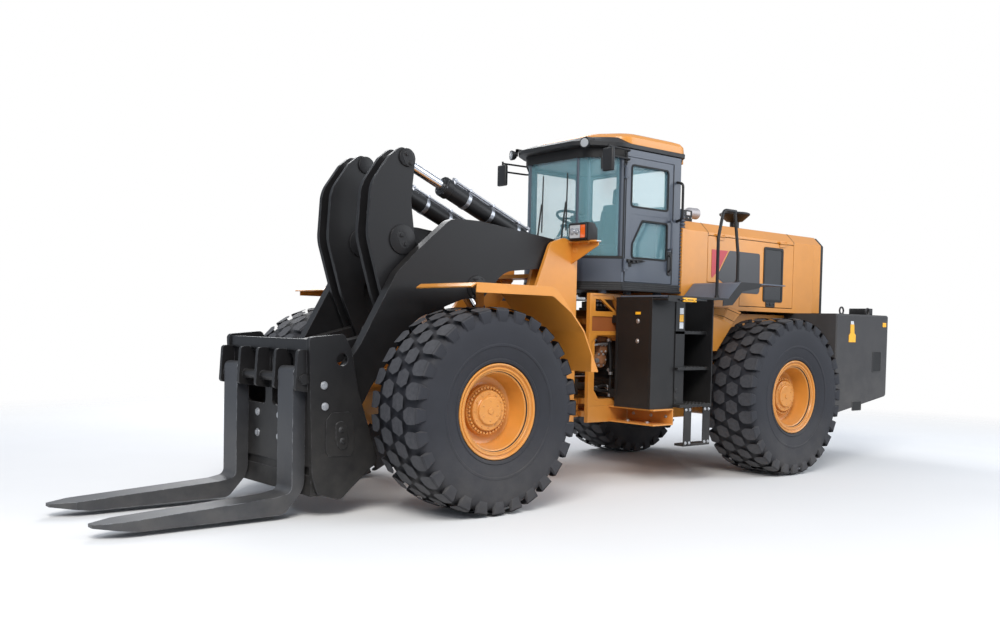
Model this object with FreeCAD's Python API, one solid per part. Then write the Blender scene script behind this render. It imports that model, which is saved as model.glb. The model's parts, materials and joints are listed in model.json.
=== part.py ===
"""Block handler: an articulated wheel loader that carries stone blocks on two forks.

Frame: +X runs forward to the fork tips, +Y to the driver's left, +Z up, ground at z = 0.
All sizes are in millimetres. The sizes below are laid out from the articulation
hinge at x = 0, and the export moves the whole machine so that its box is centred on x.
"""
import FreeCAD
import Part
import math
import os

V = FreeCAD.Vector
AXIS_X = V(1, 0, 0)
AXIS_Y = V(0, 1, 0)
AXIS_Z = V(0, 0, 1)

# ---------------------------------------------------------------- driving sizes
FIT = 0.3                    # running clearance at pins and between seated pieces
GAP = 6.0                    # side clearance between parts that move past each other

WHEELBASE = 4240.0
TRACK = 2400.0
AXLE_FRONT_X = WHEELBASE / 2
AXLE_REAR_X = -WHEELBASE / 2

TYRE_RADIUS = 875.0
TYRE_WIDTH = 650.0
TYRE_SEAT_RADIUS = 330.0
TREAD_DEPTH = 42.0
LUG_COUNT = 28
RIM_FLANGE_RADIUS = 402.0
RIM_WIDTH = 520.0
RIM_WALL = 26.0
HUB_RADIUS = 205.0
HUB_INNER = 80.0             # hub face towards the axle, from the wheel's middle
HUB_OUTER = 150.0            # hub face away from the axle, from the wheel's middle

NECK_RADIUS = 115.0
AXLE_PAD_Z = 1055.0

SHAFT_Z = 950.0
SHAFT_RADIUS = 45.0
JOINT_BALL_RADIUS = 58.0

HINGE_LOWER_Z = 730.0
HINGE_UPPER_Z = 1590.0
LUG_PLATE = 60.0
HINGE_PIN_RADIUS = 55.0
HINGE_EYE_RADIUS = 150.0

REAR_PLATE_Y = 600.0         # outer face of the rear frame's side plates
REAR_PLATE = 40.0
REAR_PLATE_FRONT_X = 240.0
REAR_PLATE_TOP_Z = 1950.0    # top of the side plates below the cab
REAR_FRAME_REAR_X = -3900.0
FRAME_BOTTOM_Z = 620.0
FRAME_TOP_Z = 1800.0

TOWER_OUTER_Y = 615.0        # outer face of the tower's outer plates
TOWER_INNER_Y = 445.0        # outer face of the tower's inner plates
TOWER_PLATE = 40.0
TOWER_REAR_X = 440.0
TOWER_PLATE_FRONT_X = 575.0  # rear face of the wall between the tower plates
TOWER_WALL_TOP_Z = 1860.0
TOWER_TOP_Z = 2480.0

ARM_Y = 510.0                # middle of each boom arm
ARM_THICK = 100.0
BOOM_PIVOT = (545.0, 2290.0)
BOOM_PIVOT_RADIUS = 122.0
BOOM_PIN_RADIUS = 60.0
LIFT_EYE = (1660.0, 1940.0)
CROSS_TUBE = (2130.0, 2060.0)
CROSS_TUBE_RADIUS = 130.0

CRANK_Y = 340.0              # middle of each bell crank
CRANK_SPACE = 130.0          # gap between a crank's two plates
CRANK_PLATE = 40.0
CRANK_PIVOT = (2417.0, 2337.0)
CRANK_TOP = (2384.0, 3065.0)
CRANK_FOOT = (2330.0, 1500.0)
CRANK_PIN_RADIUS = 50.0

CARRIAGE_PIVOT = (3190.0, 640.0)
LINK_EYE = (3187.0, 1287.0)
CARRIAGE_HALF = 765.0
CARRIAGE_SIDE = 50.0
CARRIAGE_FRONT_X = 3440.0
CARRIAGE_TOP_Z = 1466.0

FORK_TIP = (5066.0, 110.0)
FORK_HEEL_X = 3503.0
FORK_HEEL_TOP_Z = 197.0
FORK_Y = 515.0
FORK_WIDTH = 260.0
FORK_BACK_X = 3450.0
FORK_THICK = 110.0
FORK_TOP_Z = 1230.0
FORK_BAR = (3505.0, 1130.0)
FORK_BAR_RADIUS = 42.0

EAR_RADIUS = 95.0            # round end of the ears that carry a cylinder's base
LIFT_BASE = (800.0, 880.0)
LIFT_Y = 330.0
LIFT_BARREL_RADIUS = 88.0
LIFT_ROD_RADIUS = 50.0
LIFT_BARREL_LENGTH = 1150.0
TILT_BASE = (640.0, 2340.0)
TILT_SHELF_Z = 2120.0        # top of the plate between the tower's inner plates
TILT_BARREL_RADIUS = 82.0
TILT_ROD_RADIUS = 45.0
TILT_NECK = 230.0            # from the base pin to the full bore of the barrel
TILT_BARREL_LENGTH = 1390.0
STEER_BASE = (-780.0, 330.0)
STEER_EYE = (450.0, 230.0)
STEER_Z = 1100.0
STEER_BARREL_RADIUS = 55.0
STEER_PIN_RADIUS = 25.0
STEER_ROD_RADIUS = 30.0
STEER_BARREL_LENGTH = 700.0

CAB_HALF = 750.0
CAB_REAR_X = -950.0
CAB_PILLAR_X = -60.0
CAB_NOSE_X = 250.0
CAB_NOSE_HALF = 430.0
CAB_FLOOR_Z = 2000.0
CAB_SILL_Z = 2330.0
CAB_HEAD_Z = 3440.0
CAB_WALL = 50.0
ROOF_TOP_Z = 3630.0
DOOR_FRONT_X = -100.0
DOOR_REAR_X = -830.0
DOOR_BOTTOM_Z = 2080.0
DOOR_TOP_Z = 3360.0
DOOR_RAIL = 85.0
DOOR_PANES = ((2860.0, 3280.0), (2330.0, 2780.0))
DOOR_HINGE = (-75.0, 772.0)
DOOR_HINGE_LEVELS = (2200.0, 3150.0)
GLASS = 8.0

HOOD_HALF = 750.0
HOOD_FRONT_X = -1000.0
HOOD_DOOR_FRONT_X = -1430.0
HOOD_DOOR_REAR_X = -3080.0
HOOD_REAR_X = -3500.0
HOOD_BOTTOM_Z = 1830.0
HOOD_TOP_Z = 2800.0
HOOD_CHAMFER = 110.0
HOOD_WALL = 30.0
HOOD_DOOR_BOTTOM_Z = 1880.0
HOOD_DOOR_TOP_Z = 2660.0
HOOD_HINGE = (762.0, 2660.0)
HOOD_HINGE_PLACES = (-1700.0, -2900.0)

WEIGHT_FRONT_X = -3130.0
WEIGHT_REAR_X = -4730.0
WEIGHT_HALF = 1350.0
WEIGHT_TOP_Z = 1830.0
WEIGHT_BOTTOM_Z = 640.0

BOX_OUTER_Y = 1200.0         # outer face of the side boxes
BOX_INNER_Y = 700.0
BOX_FRONT_X = -50.0
BOX_REAR_X = -400.0
BOX_BOTTOM_Z = 790.0
DECK_Z = 1930.0
FENDER_TOP_Z = 2110.0        # top of the fender beside the hood
FENDER_REAR_X = -2000.0
STEP_REAR_X = -900.0
STEP_OUTER_Y = 1290.0
STAIR_BACK_Y = 800.0

X_SHIFT = -(FORK_TIP[0] + WEIGHT_REAR_X) / 2


# ---------------------------------------------------------------- shape helpers
def box(x0, x1, y0, y1, z0, z1):
    """A block between two corners."""
    return Part.makeBox(x1 - x0, y1 - y0, z1 - z0, V(x0, y0, z0))


def rod(p, q, radius):
    """A round bar from p to q."""
    start = V(*p)
    line = V(*q) - start
    return Part.makeCylinder(radius, line.Length, start, line)


def pin_y(centre, radius, y0, y1):
    """A round bar along Y at an (x, z) centre."""
    return rod((centre[0], y0, centre[1]), (centre[0], y1, centre[1]), radius)


def rounded_wire(points, place):
    """A closed wire through corners given as (a, b) or (a, b, radius)."""
    count = len(points)
    flat = [V(p[0], p[1], 0) for p in points]
    radii = [p[2] if len(p) > 2 else 0 for p in points]
    ends = []
    for i, corner in enumerate(flat):
        back = (flat[i - 1] - corner).normalize()
        ahead = (flat[(i + 1) % count] - corner).normalize()
        if radii[i] == 0:
            ends.append((corner, None, corner))
            continue
        half = back.getAngle(ahead) / 2
        cut = radii[i] / math.tan(half)
        to_middle = (back + ahead).normalize()
        centre = corner + to_middle * (radii[i] / math.sin(half))
        ends.append((corner + back * cut, centre - to_middle * radii[i], corner + ahead * cut))
    edges = []
    for i, (start, middle, end) in enumerate(ends):
        if middle is not None:
            edges.append(Part.Arc(place(start), place(middle), place(end)).toShape())
        following = ends[(i + 1) % count][0]
        if (following - end).Length > 0.01:
            edges.append(Part.LineSegment(place(end), place(following)).toShape())
    return Part.Wire(edges)


def plate_y(points, y0, y1):
    """An (x, z) outline as a plate from y0 to y1."""
    wire = rounded_wire(points, lambda p: V(p.x, y0, p.y))
    return Part.Face(wire).extrude(V(0, y1 - y0, 0))


def plate_z(points, z0, z1):
    """An (x, y) outline as a plate from z0 to z1."""
    wire = rounded_wire(points, lambda p: V(p.x, p.y, z0))
    return Part.Face(wire).extrude(V(0, 0, z1 - z0))


def plate_x(points, x0, x1):
    """A (y, z) outline as a plate from x0 to x1."""
    wire = rounded_wire(points, lambda p: V(x0, p.x, p.y))
    return Part.Face(wire).extrude(V(x1 - x0, 0, 0))


def fuse(*shapes):
    """One solid from touching shapes, with its coplanar faces merged where that holds."""
    joined = shapes[0]
    for shape in shapes[1:]:
        joined = joined.fuse(shape)
    merged = joined.removeSplitter()
    return merged if merged.isValid() else joined


def mirrored(shape):
    """The same shape on the other side of the machine."""
    return shape.mirror(V(0, 0, 0), AXIS_Y)


def both_sides(shape):
    """A left piece and its right twin."""
    return [shape, mirrored(shape)]


def across(centre_y, width):
    """The lowest and highest y of something centred on a y."""
    return centre_y - width / 2, centre_y + width / 2


def pipe(points, radius, bend):
    """A round tube bar along straight runs joined by tangent arcs."""
    spots = [V(*p) for p in points]
    edges = []
    start = spots[0]
    for before, corner, after in zip(spots, spots[1:], spots[2:]):
        back = (before - corner).normalize()
        ahead = (after - corner).normalize()
        half = back.getAngle(ahead) / 2
        cut = bend / math.tan(half)
        to_middle = (back + ahead).normalize()
        middle = corner + to_middle * (bend / math.sin(half) - bend)
        first, last = corner + back * cut, corner + ahead * cut
        edges.append(Part.LineSegment(start, first).toShape())
        edges.append(Part.Arc(first, middle, last).toShape())
        start = last
    edges.append(Part.LineSegment(start, spots[-1]).toShape())
    path = Part.Wire(edges)
    ring = Part.Wire(Part.makeCircle(radius, spots[0], spots[1] - spots[0]))
    return path.makePipeShell([ring], True, False)


def eye_plate(centres, radii, y0, y1):
    """A straight bar with a round end about each of two (x, z) centres."""
    (ax, az), (bx, bz) = centres
    length = math.hypot(bx - ax, bz - az)
    lean = math.asin((radii[0] - radii[1]) / length)
    along = math.atan2(bz - az, bx - ax)
    corners = []
    for (cx, cz), radius, side in ((centres[0], radii[0], 1), (centres[1], radii[1], 1),
                                   (centres[1], radii[1], -1), (centres[0], radii[0], -1)):
        turn = along + side * (math.pi / 2 - lean)
        corners.append((cx + radius * math.cos(turn), cz + radius * math.sin(turn)))
    web = plate_y(corners, y0, y1)
    ends = [pin_y(c, r, y0, y1) for c, r in zip(centres, radii)]
    return fuse(web, *ends)


# ---------------------------------------------------------------- wheels
def revolved(points, centre):
    """An (outboard, radius) outline turned about the wheel axis."""
    wire = rounded_wire(points, lambda p: V(centre[0], centre[1] + p.x, centre[2] + p.y))
    return Part.Face(wire).revolve(V(*centre), AXIS_Y, 360)


def tyre(x, side):
    """Tyre body with a rounded shoulder, out to the tips of its lugs."""
    half = TYRE_WIDTH / 2
    seat = TYRE_SEAT_RADIUS + FIT
    bead = RIM_WIDTH / 2 - FIT
    outline = [(-bead, seat), (bead, seat), (bead, RIM_FLANGE_RADIUS + 6), (half - 12, 520, 90),
               (half, 640, 120), (half - 10, 800, 60), (half - 80, TYRE_RADIUS, 60),
               (-half + 80, TYRE_RADIUS, 60), (-half + 10, 800, 60), (-half, 640, 120),
               (-half + 12, 520, 90), (-bead, RIM_FLANGE_RADIUS + 6)]
    return revolved(outline, (x, side * TRACK / 2, TYRE_RADIUS))


def rim(x, side):
    """Rim barrel with flanges, a dished disc and the planetary hub."""
    half = RIM_WIDTH / 2
    bore = TYRE_SEAT_RADIUS - RIM_WALL
    barrel = [(-half, bore), (half + 18, bore), (half + 18, RIM_FLANGE_RADIUS, 6), (half, RIM_FLANGE_RADIUS, 6),
              (half, TYRE_SEAT_RADIUS), (-half, TYRE_SEAT_RADIUS), (-half, RIM_FLANGE_RADIUS, 6),
              (-half - 18, RIM_FLANGE_RADIUS, 6), (-half - 18, bore)]
    disc = [(30, 0), (30, bore + 5), (62, bore + 5), (62, 0)]
    hub = [(-HUB_INNER, 0), (-HUB_INNER, HUB_RADIUS), (HUB_OUTER - 40, HUB_RADIUS), (HUB_OUTER - 40, 175),
           (HUB_OUTER, 168), (HUB_OUTER, 120), (HUB_OUTER + 25, 115), (HUB_OUTER + 25, 0)]
    centre = (x, 0, TYRE_RADIUS)
    shape = fuse(*[revolved(outline, centre) for outline in (barrel, disc, hub)])
    if side < 0:
        shape = mirrored(shape)
    shape.translate(V(0, side * TRACK / 2, 0))
    return shape


def axle(x, nose, trunnion):
    """Axle beam with its differential, input neck and brake housings."""
    z = TYRE_RADIUS
    end = TRACK / 2 - HUB_INNER - FIT
    middle = (x, 0, z)
    profile = [(-end, 0), (-end, 150), (-end + 120, 190), (-end + 330, 190), (-end + 350, 140),
               (-420, 150), (-250, 290, 60), (250, 290, 60), (420, 150), (end - 350, 140),
               (end - 330, 190), (end - 120, 190), (end, 150), (end, 0)]
    beam = revolved(profile, middle)
    neck = rod((x + nose * 200, 0, z), (x + nose * 470, 0, z), NECK_RADIUS)
    parts = [beam, neck]
    if trunnion:
        parts.append(rod((x - nose * 200, 0, z), (x - nose * 440, 0, z), NECK_RADIUS))
    else:
        for pad in both_sides(box(x - 170, x + 170, 500, 700, z, AXLE_PAD_Z)):
            parts.append(pad)
    return fuse(*parts)


# ---------------------------------------------------------------- rear frame
def lug_stack(z, x_outer, sign):
    """A horizontal hinge plate that reaches from a cross member to the hinge eye."""
    half = 300.0
    outline = [(sign * x_outer, -half), (sign * 120, -140), (sign * 120, 140), (sign * x_outer, half)]
    body = plate_z(outline, z - LUG_PLATE / 2, z + LUG_PLATE / 2)
    eye = Part.makeCylinder(HINGE_EYE_RADIUS, LUG_PLATE, V(0, 0, z - LUG_PLATE / 2))
    return fuse(body, eye)


def hinge_bore(z0, z1, clearance):
    """The hole or the pin of one hinge, by its clearance."""
    return Part.makeCylinder(HINGE_PIN_RADIUS + clearance, z1 - z0, V(0, 0, z0))


def rear_side_plate():
    """Left side plate of the rear frame, with its chamfered service opening."""
    outline = [(REAR_PLATE_FRONT_X, FRAME_BOTTOM_Z), (REAR_PLATE_FRONT_X, REAR_PLATE_TOP_Z), (-360, REAR_PLATE_TOP_Z),
               (-400, FRAME_TOP_Z), (REAR_FRAME_REAR_X, FRAME_TOP_Z), (REAR_FRAME_REAR_X, 900),
               (-2900, 900), (-2700, 1180, 120), (-1560, 1180, 120), (-1380, FRAME_BOTTOM_Z, 60)]
    plate = plate_y(outline, REAR_PLATE_Y - REAR_PLATE, REAR_PLATE_Y)
    window = [(-250, 950), (-180, 860), (80, 860), (150, 950), (150, 1470), (80, 1560), (-180, 1560), (-250, 1470)]
    brace = [(-230, 1700), (150, 1700), (150, 1890), (-120, 1890)]
    y0, y1 = REAR_PLATE_Y - REAR_PLATE - 10, REAR_PLATE_Y + 10
    return plate.cut(plate_y(window, y0, y1)).cut(plate_y(brace, y0, y1))


def rear_frame():
    """Side plates, cross members, hinge plates and the axle cradle."""
    inner = REAR_PLATE_Y - REAR_PLATE
    parts = both_sides(rear_side_plate())
    for z in (HINGE_LOWER_Z, HINGE_UPPER_Z):
        for level in (z - LUG_PLATE - 10, z + LUG_PLATE + 10):
            parts.append(lug_stack(level, 420, -1))
            parts.append(box(-460, -400, -inner, inner, level - LUG_PLATE / 2, level + LUG_PLATE / 2))
    parts.append(box(-460, -420, -inner, inner, FRAME_BOTTOM_Z, 830))
    parts.append(box(-460, -420, -inner, inner, 1460, 1720))
    parts.append(box(-1400, -460, -inner, inner, FRAME_BOTTOM_Z, FRAME_BOTTOM_Z + 30))
    parts.append(box(-3100, -3060, -inner, inner, 900, FRAME_TOP_Z))
    parts.append(box(-1500, -1460, -inner, inner, 1000, 1250))
    for x in (AXLE_REAR_X - 420, AXLE_REAR_X + 320):
        cradle = [(-inner, 1180), (-inner, 1300), (inner, 1300), (inner, 1180), (210, 1180), (190, 700, 60),
                  (-190, 700, 60), (-210, 1180)]
        parts.append(plate_x(cradle, x, x + 100))
    for side in (-1, 1):
        parts += steer_base_ears(side)
    frame = fuse(*parts)
    trunnion = rod((AXLE_REAR_X - 500, 0, TYRE_RADIUS), (AXLE_REAR_X + 500, 0, TYRE_RADIUS), NECK_RADIUS + FIT)
    frame = frame.cut(trunnion)
    for z in (HINGE_LOWER_Z, HINGE_UPPER_Z):
        frame = frame.cut(hinge_bore(z - 200, z + 200, FIT))
    return frame


def steer_base_ears(side):
    """Ears above and below the base of a steering cylinder, with its pin."""
    x, y = STEER_BASE
    pieces = [Part.makeCylinder(STEER_PIN_RADIUS, 130, V(x, y, STEER_Z - 65))]
    for z0 in (STEER_Z - 30 - GAP - 25, STEER_Z + 30 + GAP):
        disc = Part.makeCylinder(50, 25, V(x, y, z0))
        pieces.append(fuse(disc, box(x - 50, x + 50, y, REAR_PLATE_Y - REAR_PLATE + 5, z0, z0 + 25)))
    return pieces if side > 0 else [mirrored(piece) for piece in pieces]


def hinge_pins():
    """The two articulation pins with their heads."""
    pins = []
    for z in (HINGE_LOWER_Z, HINGE_UPPER_Z):
        low = z - 1.5 * LUG_PLATE - 10
        high = z + 1.5 * LUG_PLATE + 10
        pin = fuse(hinge_bore(low, high + 25, 0), Part.makeCylinder(95, 25, V(0, 0, high + FIT)))
        pins.append(pin)
    return pins


def transmission():
    """Gearbox, converter housing and pump below the cab floor."""
    box_body = box(-1100, -560, -195, 195, 830, 1560)
    converter = rod((-560, 0, 1340), (-460 - FIT, 0, 1340), 170)
    bell = rod((-1100, 0, 1300), (-1340, 0, 1300), 270)
    return fuse(box_body, bell, joint_yoke()), converter


def counterweight():
    """Cast block behind the rear wheels, chamfered at the rear, with a tow clevis."""
    plan = [(WEIGHT_FRONT_X, -WEIGHT_HALF), (-4300, -WEIGHT_HALF), (WEIGHT_REAR_X, -980),
            (WEIGHT_REAR_X, 980), (-4300, WEIGHT_HALF), (WEIGHT_FRONT_X, WEIGHT_HALF)]
    block = plate_z(plan, WEIGHT_BOTTOM_Z, WEIGHT_TOP_Z)
    slot = box(REAR_FRAME_REAR_X - FIT, WEIGHT_FRONT_X + 5, -REAR_PLATE_Y - FIT, REAR_PLATE_Y + FIT,
               WEIGHT_BOTTOM_Z - 5, WEIGHT_TOP_Z + 5)
    return block.cut(slot)



# ---------------------------------------------------------------- front frame
def front_side_plate():
    """Left outer plate of the front frame, which rises to the boom pivot."""
    outline = [(TOWER_REAR_X, FRAME_BOTTOM_Z), (1420, FRAME_BOTTOM_Z, 60), (1700, AXLE_PAD_Z + FIT, 60),
               (2520, AXLE_PAD_Z + FIT), (2560, 1180), (2300, 1380, 100), (1500, 1480, 200), (1050, 1800, 200),
               (800, TOWER_TOP_Z - 60, 100), (620, TOWER_TOP_Z, 80), (TOWER_REAR_X, TOWER_TOP_Z - 60, 60)]
    return plate_y(outline, TOWER_OUTER_Y - TOWER_PLATE, TOWER_OUTER_Y)


def front_inner_plate():
    """Left inner plate of the tower, seated on the wall, on the other side of the boom arm."""
    front, top = TOWER_PLATE_FRONT_X + TOWER_PLATE + FIT, TOWER_WALL_TOP_Z + FIT
    outline = [(front, 1500), (800, 1500), (960, 1900), (800, TOWER_TOP_Z - 60, 100), (620, TOWER_TOP_Z, 80),
               (TOWER_REAR_X, TOWER_TOP_Z - 60, 60), (TOWER_REAR_X, REAR_PLATE_TOP_Z + 110),
               (TOWER_PLATE_FRONT_X, top), (front, top)]
    return plate_y(outline, TOWER_INNER_Y - TOWER_PLATE, TOWER_INNER_Y)


def clevis_y(centre, radius, root, y_mid, space, thick):
    """Two ears with round ends about an (x, z) centre, reaching back to a root point."""
    ears = []
    for y0 in (y_mid - space / 2 - thick, y_mid + space / 2):
        ears.append(eye_plate((root, centre), (radius, radius), y0, y0 + thick))
    return ears


def front_frame():
    """Twin-plate tower, floor, hinge plates, cylinder brackets and axle saddles."""
    inner = TOWER_OUTER_Y - TOWER_PLATE
    parts = both_sides(front_side_plate())
    wall = TOWER_PLATE_FRONT_X
    parts.append(box(wall, wall + TOWER_PLATE, -inner, inner, FRAME_BOTTOM_Z, TOWER_WALL_TOP_Z))
    parts.append(box(wall, 1400, -inner, inner, FRAME_BOTTOM_Z, FRAME_BOTTOM_Z + 35))
    saddle = box(1750, 2480, -inner, inner, AXLE_PAD_Z + FIT, AXLE_PAD_Z + 35)
    parts.append(saddle.cut(box(1800, 2430, -430, 430, AXLE_PAD_Z - 5, AXLE_PAD_Z + 40)))
    parts.append(box(2480, 2520, -inner, inner, AXLE_PAD_Z + FIT, 1180))
    for z in (HINGE_LOWER_Z, HINGE_UPPER_Z):
        parts.append(lug_stack(z, wall + 10, 1))
    for y in (-LIFT_Y, LIFT_Y):
        parts += clevis_y(LIFT_BASE, EAR_RADIUS, (LIFT_BASE[0], 735), y, CRANK_SPACE, 35)
        parts.append(pin_y(LIFT_BASE, CRANK_PIN_RADIUS, *across(y, CRANK_SPACE + 90)))
    for side in (-1, 1):
        parts += steer_bracket(side)
        y0, y1 = sorted((side * (TOWER_INNER_Y - TOWER_PLATE), side * TOWER_OUTER_Y))
        parts.append(pin_y(BOOM_PIVOT, BOOM_PIN_RADIUS, y0, y1))
    frame = fuse(*parts)
    frame = frame.cut(rod((wall - 10, 0, SHAFT_Z - 20), (wall + 60, 0, SHAFT_Z - 20), 150))
    for y in (-CRANK_Y, CRANK_Y):
        frame = frame.cut(pin_y(TILT_BASE, CRANK_PIN_RADIUS + FIT, *across(y, CRANK_SPACE + 100)))
    for z in (HINGE_LOWER_Z, HINGE_UPPER_Z):
        frame = frame.cut(hinge_bore(z - 200, z + 200, FIT))
    return frame


def tower_core():
    """The tower's inner plates with the shelf between them and the ears of the tilt cylinders."""
    reach = TOWER_INNER_Y - TOWER_PLATE + 5
    parts = both_sides(front_inner_plate())
    parts.append(box(TOWER_PLATE_FRONT_X - 30, 800, -reach, reach, TILT_SHELF_Z - TOWER_PLATE, TILT_SHELF_Z))
    for side in (-1, 1):
        low, high = sorted((side * (CRANK_Y - CRANK_SPACE / 2 - 35), side * (CRANK_Y - CRANK_SPACE / 2)))
        parts.append(eye_plate(((TILT_BASE[0], TILT_SHELF_Z), TILT_BASE), (EAR_RADIUS, EAR_RADIUS), low, high))
    core = fuse(*parts)
    for y in (-CRANK_Y, CRANK_Y):
        core = core.cut(pin_y(TILT_BASE, CRANK_PIN_RADIUS + FIT, *across(y, CRANK_SPACE + 100)))
    return core.cut(pin_y(BOOM_PIVOT, BOOM_PIN_RADIUS + FIT, -TOWER_INNER_Y - 5, TOWER_INNER_Y + 5))


def tilt_pin(y):
    """The pin that a tilt cylinder's base turns on, carried by its two ears."""
    return pin_y(TILT_BASE, CRANK_PIN_RADIUS, *across(y, CRANK_SPACE + 90))


def steer_bracket(side):
    """Two flat ears above and below a steering rod's eye."""
    ears = []
    x, y = STEER_EYE
    for z0 in (STEER_Z - 30 - GAP - 25, STEER_Z + 30 + GAP):
        ear = fuse(Part.makeCylinder(60, 25, V(x, side * y, z0)),
                   box(x, TOWER_PLATE_FRONT_X + 5, side * y - 60, side * y + 60, z0, z0 + 25))
        ears.append(ear)
    return ears


def front_fender(side):
    """Bent plate over the front tyre with its outer skirt and stay."""
    thick = 12.0
    run = [(2430, 1900), (2380, 1930, 30), (1520, 1930, 160), (1170, 1560, 120), (985, 1190)]
    back = [(x - thick, z - thick) for x, z in ((985, 1190),)]
    inner_run = [(972, 1196), (1158, 1567, 130), (1513, 1942, 170), (2385, 1942, 30), (2436, 1910)]
    sheet = plate_y(run + inner_run, 700, 1490)
    skirt = plate_y([(2380, 1936), (1513, 1936, 160), (1162, 1563, 120), (978, 1193), (1060, 1193),
                     (1060, 1420), (1290, 1700, 90), (1540, 1860, 90), (2380, 1860)], 1478, 1490)
    stay = box(1700, 1780, TOWER_OUTER_Y + FIT, 720, 1300, 1360)
    post = box(1700, 1780, 700, 720, 1300, 1936)
    shape = fuse(sheet, skirt, stay, post)
    return shape if side > 0 else mirrored(shape)


def headlight(side):
    """Lamp bracket on top of the tower with a square work lamp."""
    arm = plate_y([(520, 2420), (520, 2400), (700, 2400), (700, 2420)], TOWER_OUTER_Y + FIT, 860)
    gusset = plate_x([(TOWER_OUTER_Y + FIT, 2160), (TOWER_OUTER_Y + FIT, 2400), (860, 2400)], 600, 612)
    lamp = box(545, 700, 640, 850, 2420, 2590)
    lens = box(700, 712, 655, 835, 2435, 2575)
    shape = fuse(arm, gusset, lamp, lens)
    return shape if side > 0 else mirrored(shape)


# ---------------------------------------------------------------- boom and linkage
def boom_arm():
    """Left arm: a deep plate from the tower pivot over the hump down to the carriage."""
    outline = [(490, 2170), (741, 2176), (1340, 2108, 300), (1580, 1850, 90), (1820, 1830, 200),
               (2330, 1640, 300), (2780, 1050, 300), (3060, 560), (3320, 640), (3150, 1080, 200),
               (2900, 1400, 150), (2540, 2040, 200), (2344, 2230, 200), (1960, 2560, 200), (1640, 2560, 300),
               (574, 2446, 60), (490, 2410)]
    y0, y1 = across(ARM_Y, ARM_THICK)
    plate = plate_y(outline, y0, y1)
    ends = [pin_y(BOOM_PIVOT, BOOM_PIVOT_RADIUS, y0, y1), pin_y(CARRIAGE_PIVOT, 150, y0, y1)]
    arm = fuse(plate, *ends)
    arm = arm.cut(pin_y(BOOM_PIVOT, BOOM_PIN_RADIUS + FIT, y0 - 5, y1 + 5))
    return arm.cut(pin_y(CARRIAGE_PIVOT, BOOM_PIN_RADIUS + FIT, y0 - 5, y1 + 5))


def boom():
    """Both arms, the cross tube, crank brackets and lift cylinder pins."""
    y0, y1 = across(ARM_Y, ARM_THICK)
    parts = both_sides(boom_arm())
    parts.append(pin_y(CROSS_TUBE, CROSS_TUBE_RADIUS, -y0, y0))
    for y in (-CRANK_Y, CRANK_Y):
        low, high = across(y, CRANK_SPACE - 2 * GAP)
        parts.append(eye_plate((CROSS_TUBE, CRANK_PIVOT), (CROSS_TUBE_RADIUS, 110), low, high))
        parts.append(pin_y(CRANK_PIVOT, CRANK_PIN_RADIUS, *across(y, CRANK_SPACE + 2 * CRANK_PLATE + 30)))
    for side in (-1, 1):
        a, b = sorted((side * (LIFT_Y + 55 + GAP), side * (y1 + 30)))
        parts.append(pin_y(LIFT_EYE, 75, a, b))
    return fuse(*parts)


def crank_plate(y0):
    """One curved plate of a bell crank, with its three pin bosses."""
    outline = [(2290, 3065), (2310, 3130, 60), (2450, 3150, 70), (2560, 3060, 100), (2740, 2800, 300),
               (2770, 2350, 400), (2620, 1850, 300), (2430, 1420, 60), (2260, 1410, 60), (2250, 1540, 60),
               (2400, 1850, 300), (2320, 2180, 150), (2280, 2330, 100), (2330, 2700, 400)]
    y1 = y0 + CRANK_PLATE
    plate = plate_y(outline, y0, y1)
    plate = fuse(plate, pin_y(CRANK_PIVOT, 135, y0, y1), pin_y(CRANK_FOOT, 90, y0, y1))
    return plate.cut(pin_y(CRANK_PIVOT, CRANK_PIN_RADIUS + FIT, y0 - 5, y1 + 5))


def bell_crank(y):
    """Twin plates joined by a spacer, with the foot pin and the top boss."""
    low, high = across(y, CRANK_SPACE)
    plates = [crank_plate(low - CRANK_PLATE), crank_plate(high)]
    spacer = pin_y((2640, 2560), 40, low - 5, high + 5)
    bosses = []
    for centre in (CRANK_TOP, CRANK_FOOT):
        bosses.append(pin_y(centre, 60, low - CRANK_PLATE - 15, low - CRANK_PLATE + 5))
        bosses.append(pin_y(centre, 60, high + CRANK_PLATE - 5, high + CRANK_PLATE + 15))
    return fuse(*plates, spacer, *bosses)


def link(y):
    """Short bar from the crank's foot to the carriage, where it turns on the carriage's pin."""
    low, high = across(y, CRANK_SPACE - 2 * GAP)
    bar = eye_plate((CRANK_FOOT, LINK_EYE), (85, 80), low, high)
    return bar.cut(pin_y(LINK_EYE, CRANK_PIN_RADIUS + FIT, low - 5, high + 5))


def along(p, q, distance):
    """The point at a distance from p towards q, in any number of coordinates."""
    length = math.dist(p, q)
    return tuple(a + (b - a) * distance / length for a, b in zip(p, q))


def barrel_y(base, tip, y, radius, bore, start, length):
    """A cylinder barrel in an (x, z) plane, with its base eye, neck and open bore."""
    def spot(distance):
        x, z = along(base, tip, distance)
        return x, y, z
    body = rod(spot(start), spot(length), radius)
    gland = rod(spot(length - 60), spot(length), radius * 1.12)
    neck = rod(spot(0), spot(start + GAP), CRANK_SPACE / 2 - GAP)
    eye = pin_y(base, EAR_RADIUS - GAP, *across(y, CRANK_SPACE - 2 * GAP))
    shape = fuse(body, gland, neck, eye)
    shape = shape.cut(rod(spot(EAR_RADIUS + 60), spot(length + 5), bore))
    return shape.cut(pin_y(base, CRANK_PIN_RADIUS + FIT, *across(y, CRANK_SPACE + 10)))


def piston_rod_y(base, tip, y, radius, start, eye_radius):
    """A piston rod in an (x, z) plane from inside its barrel to its eye."""
    x, z = along(base, tip, start)
    shaft = rod((x, y, z), (tip[0], y, tip[1]), radius)
    return fuse(shaft, pin_y(tip, eye_radius, *across(y, CRANK_SPACE - 2 * GAP)))


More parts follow.
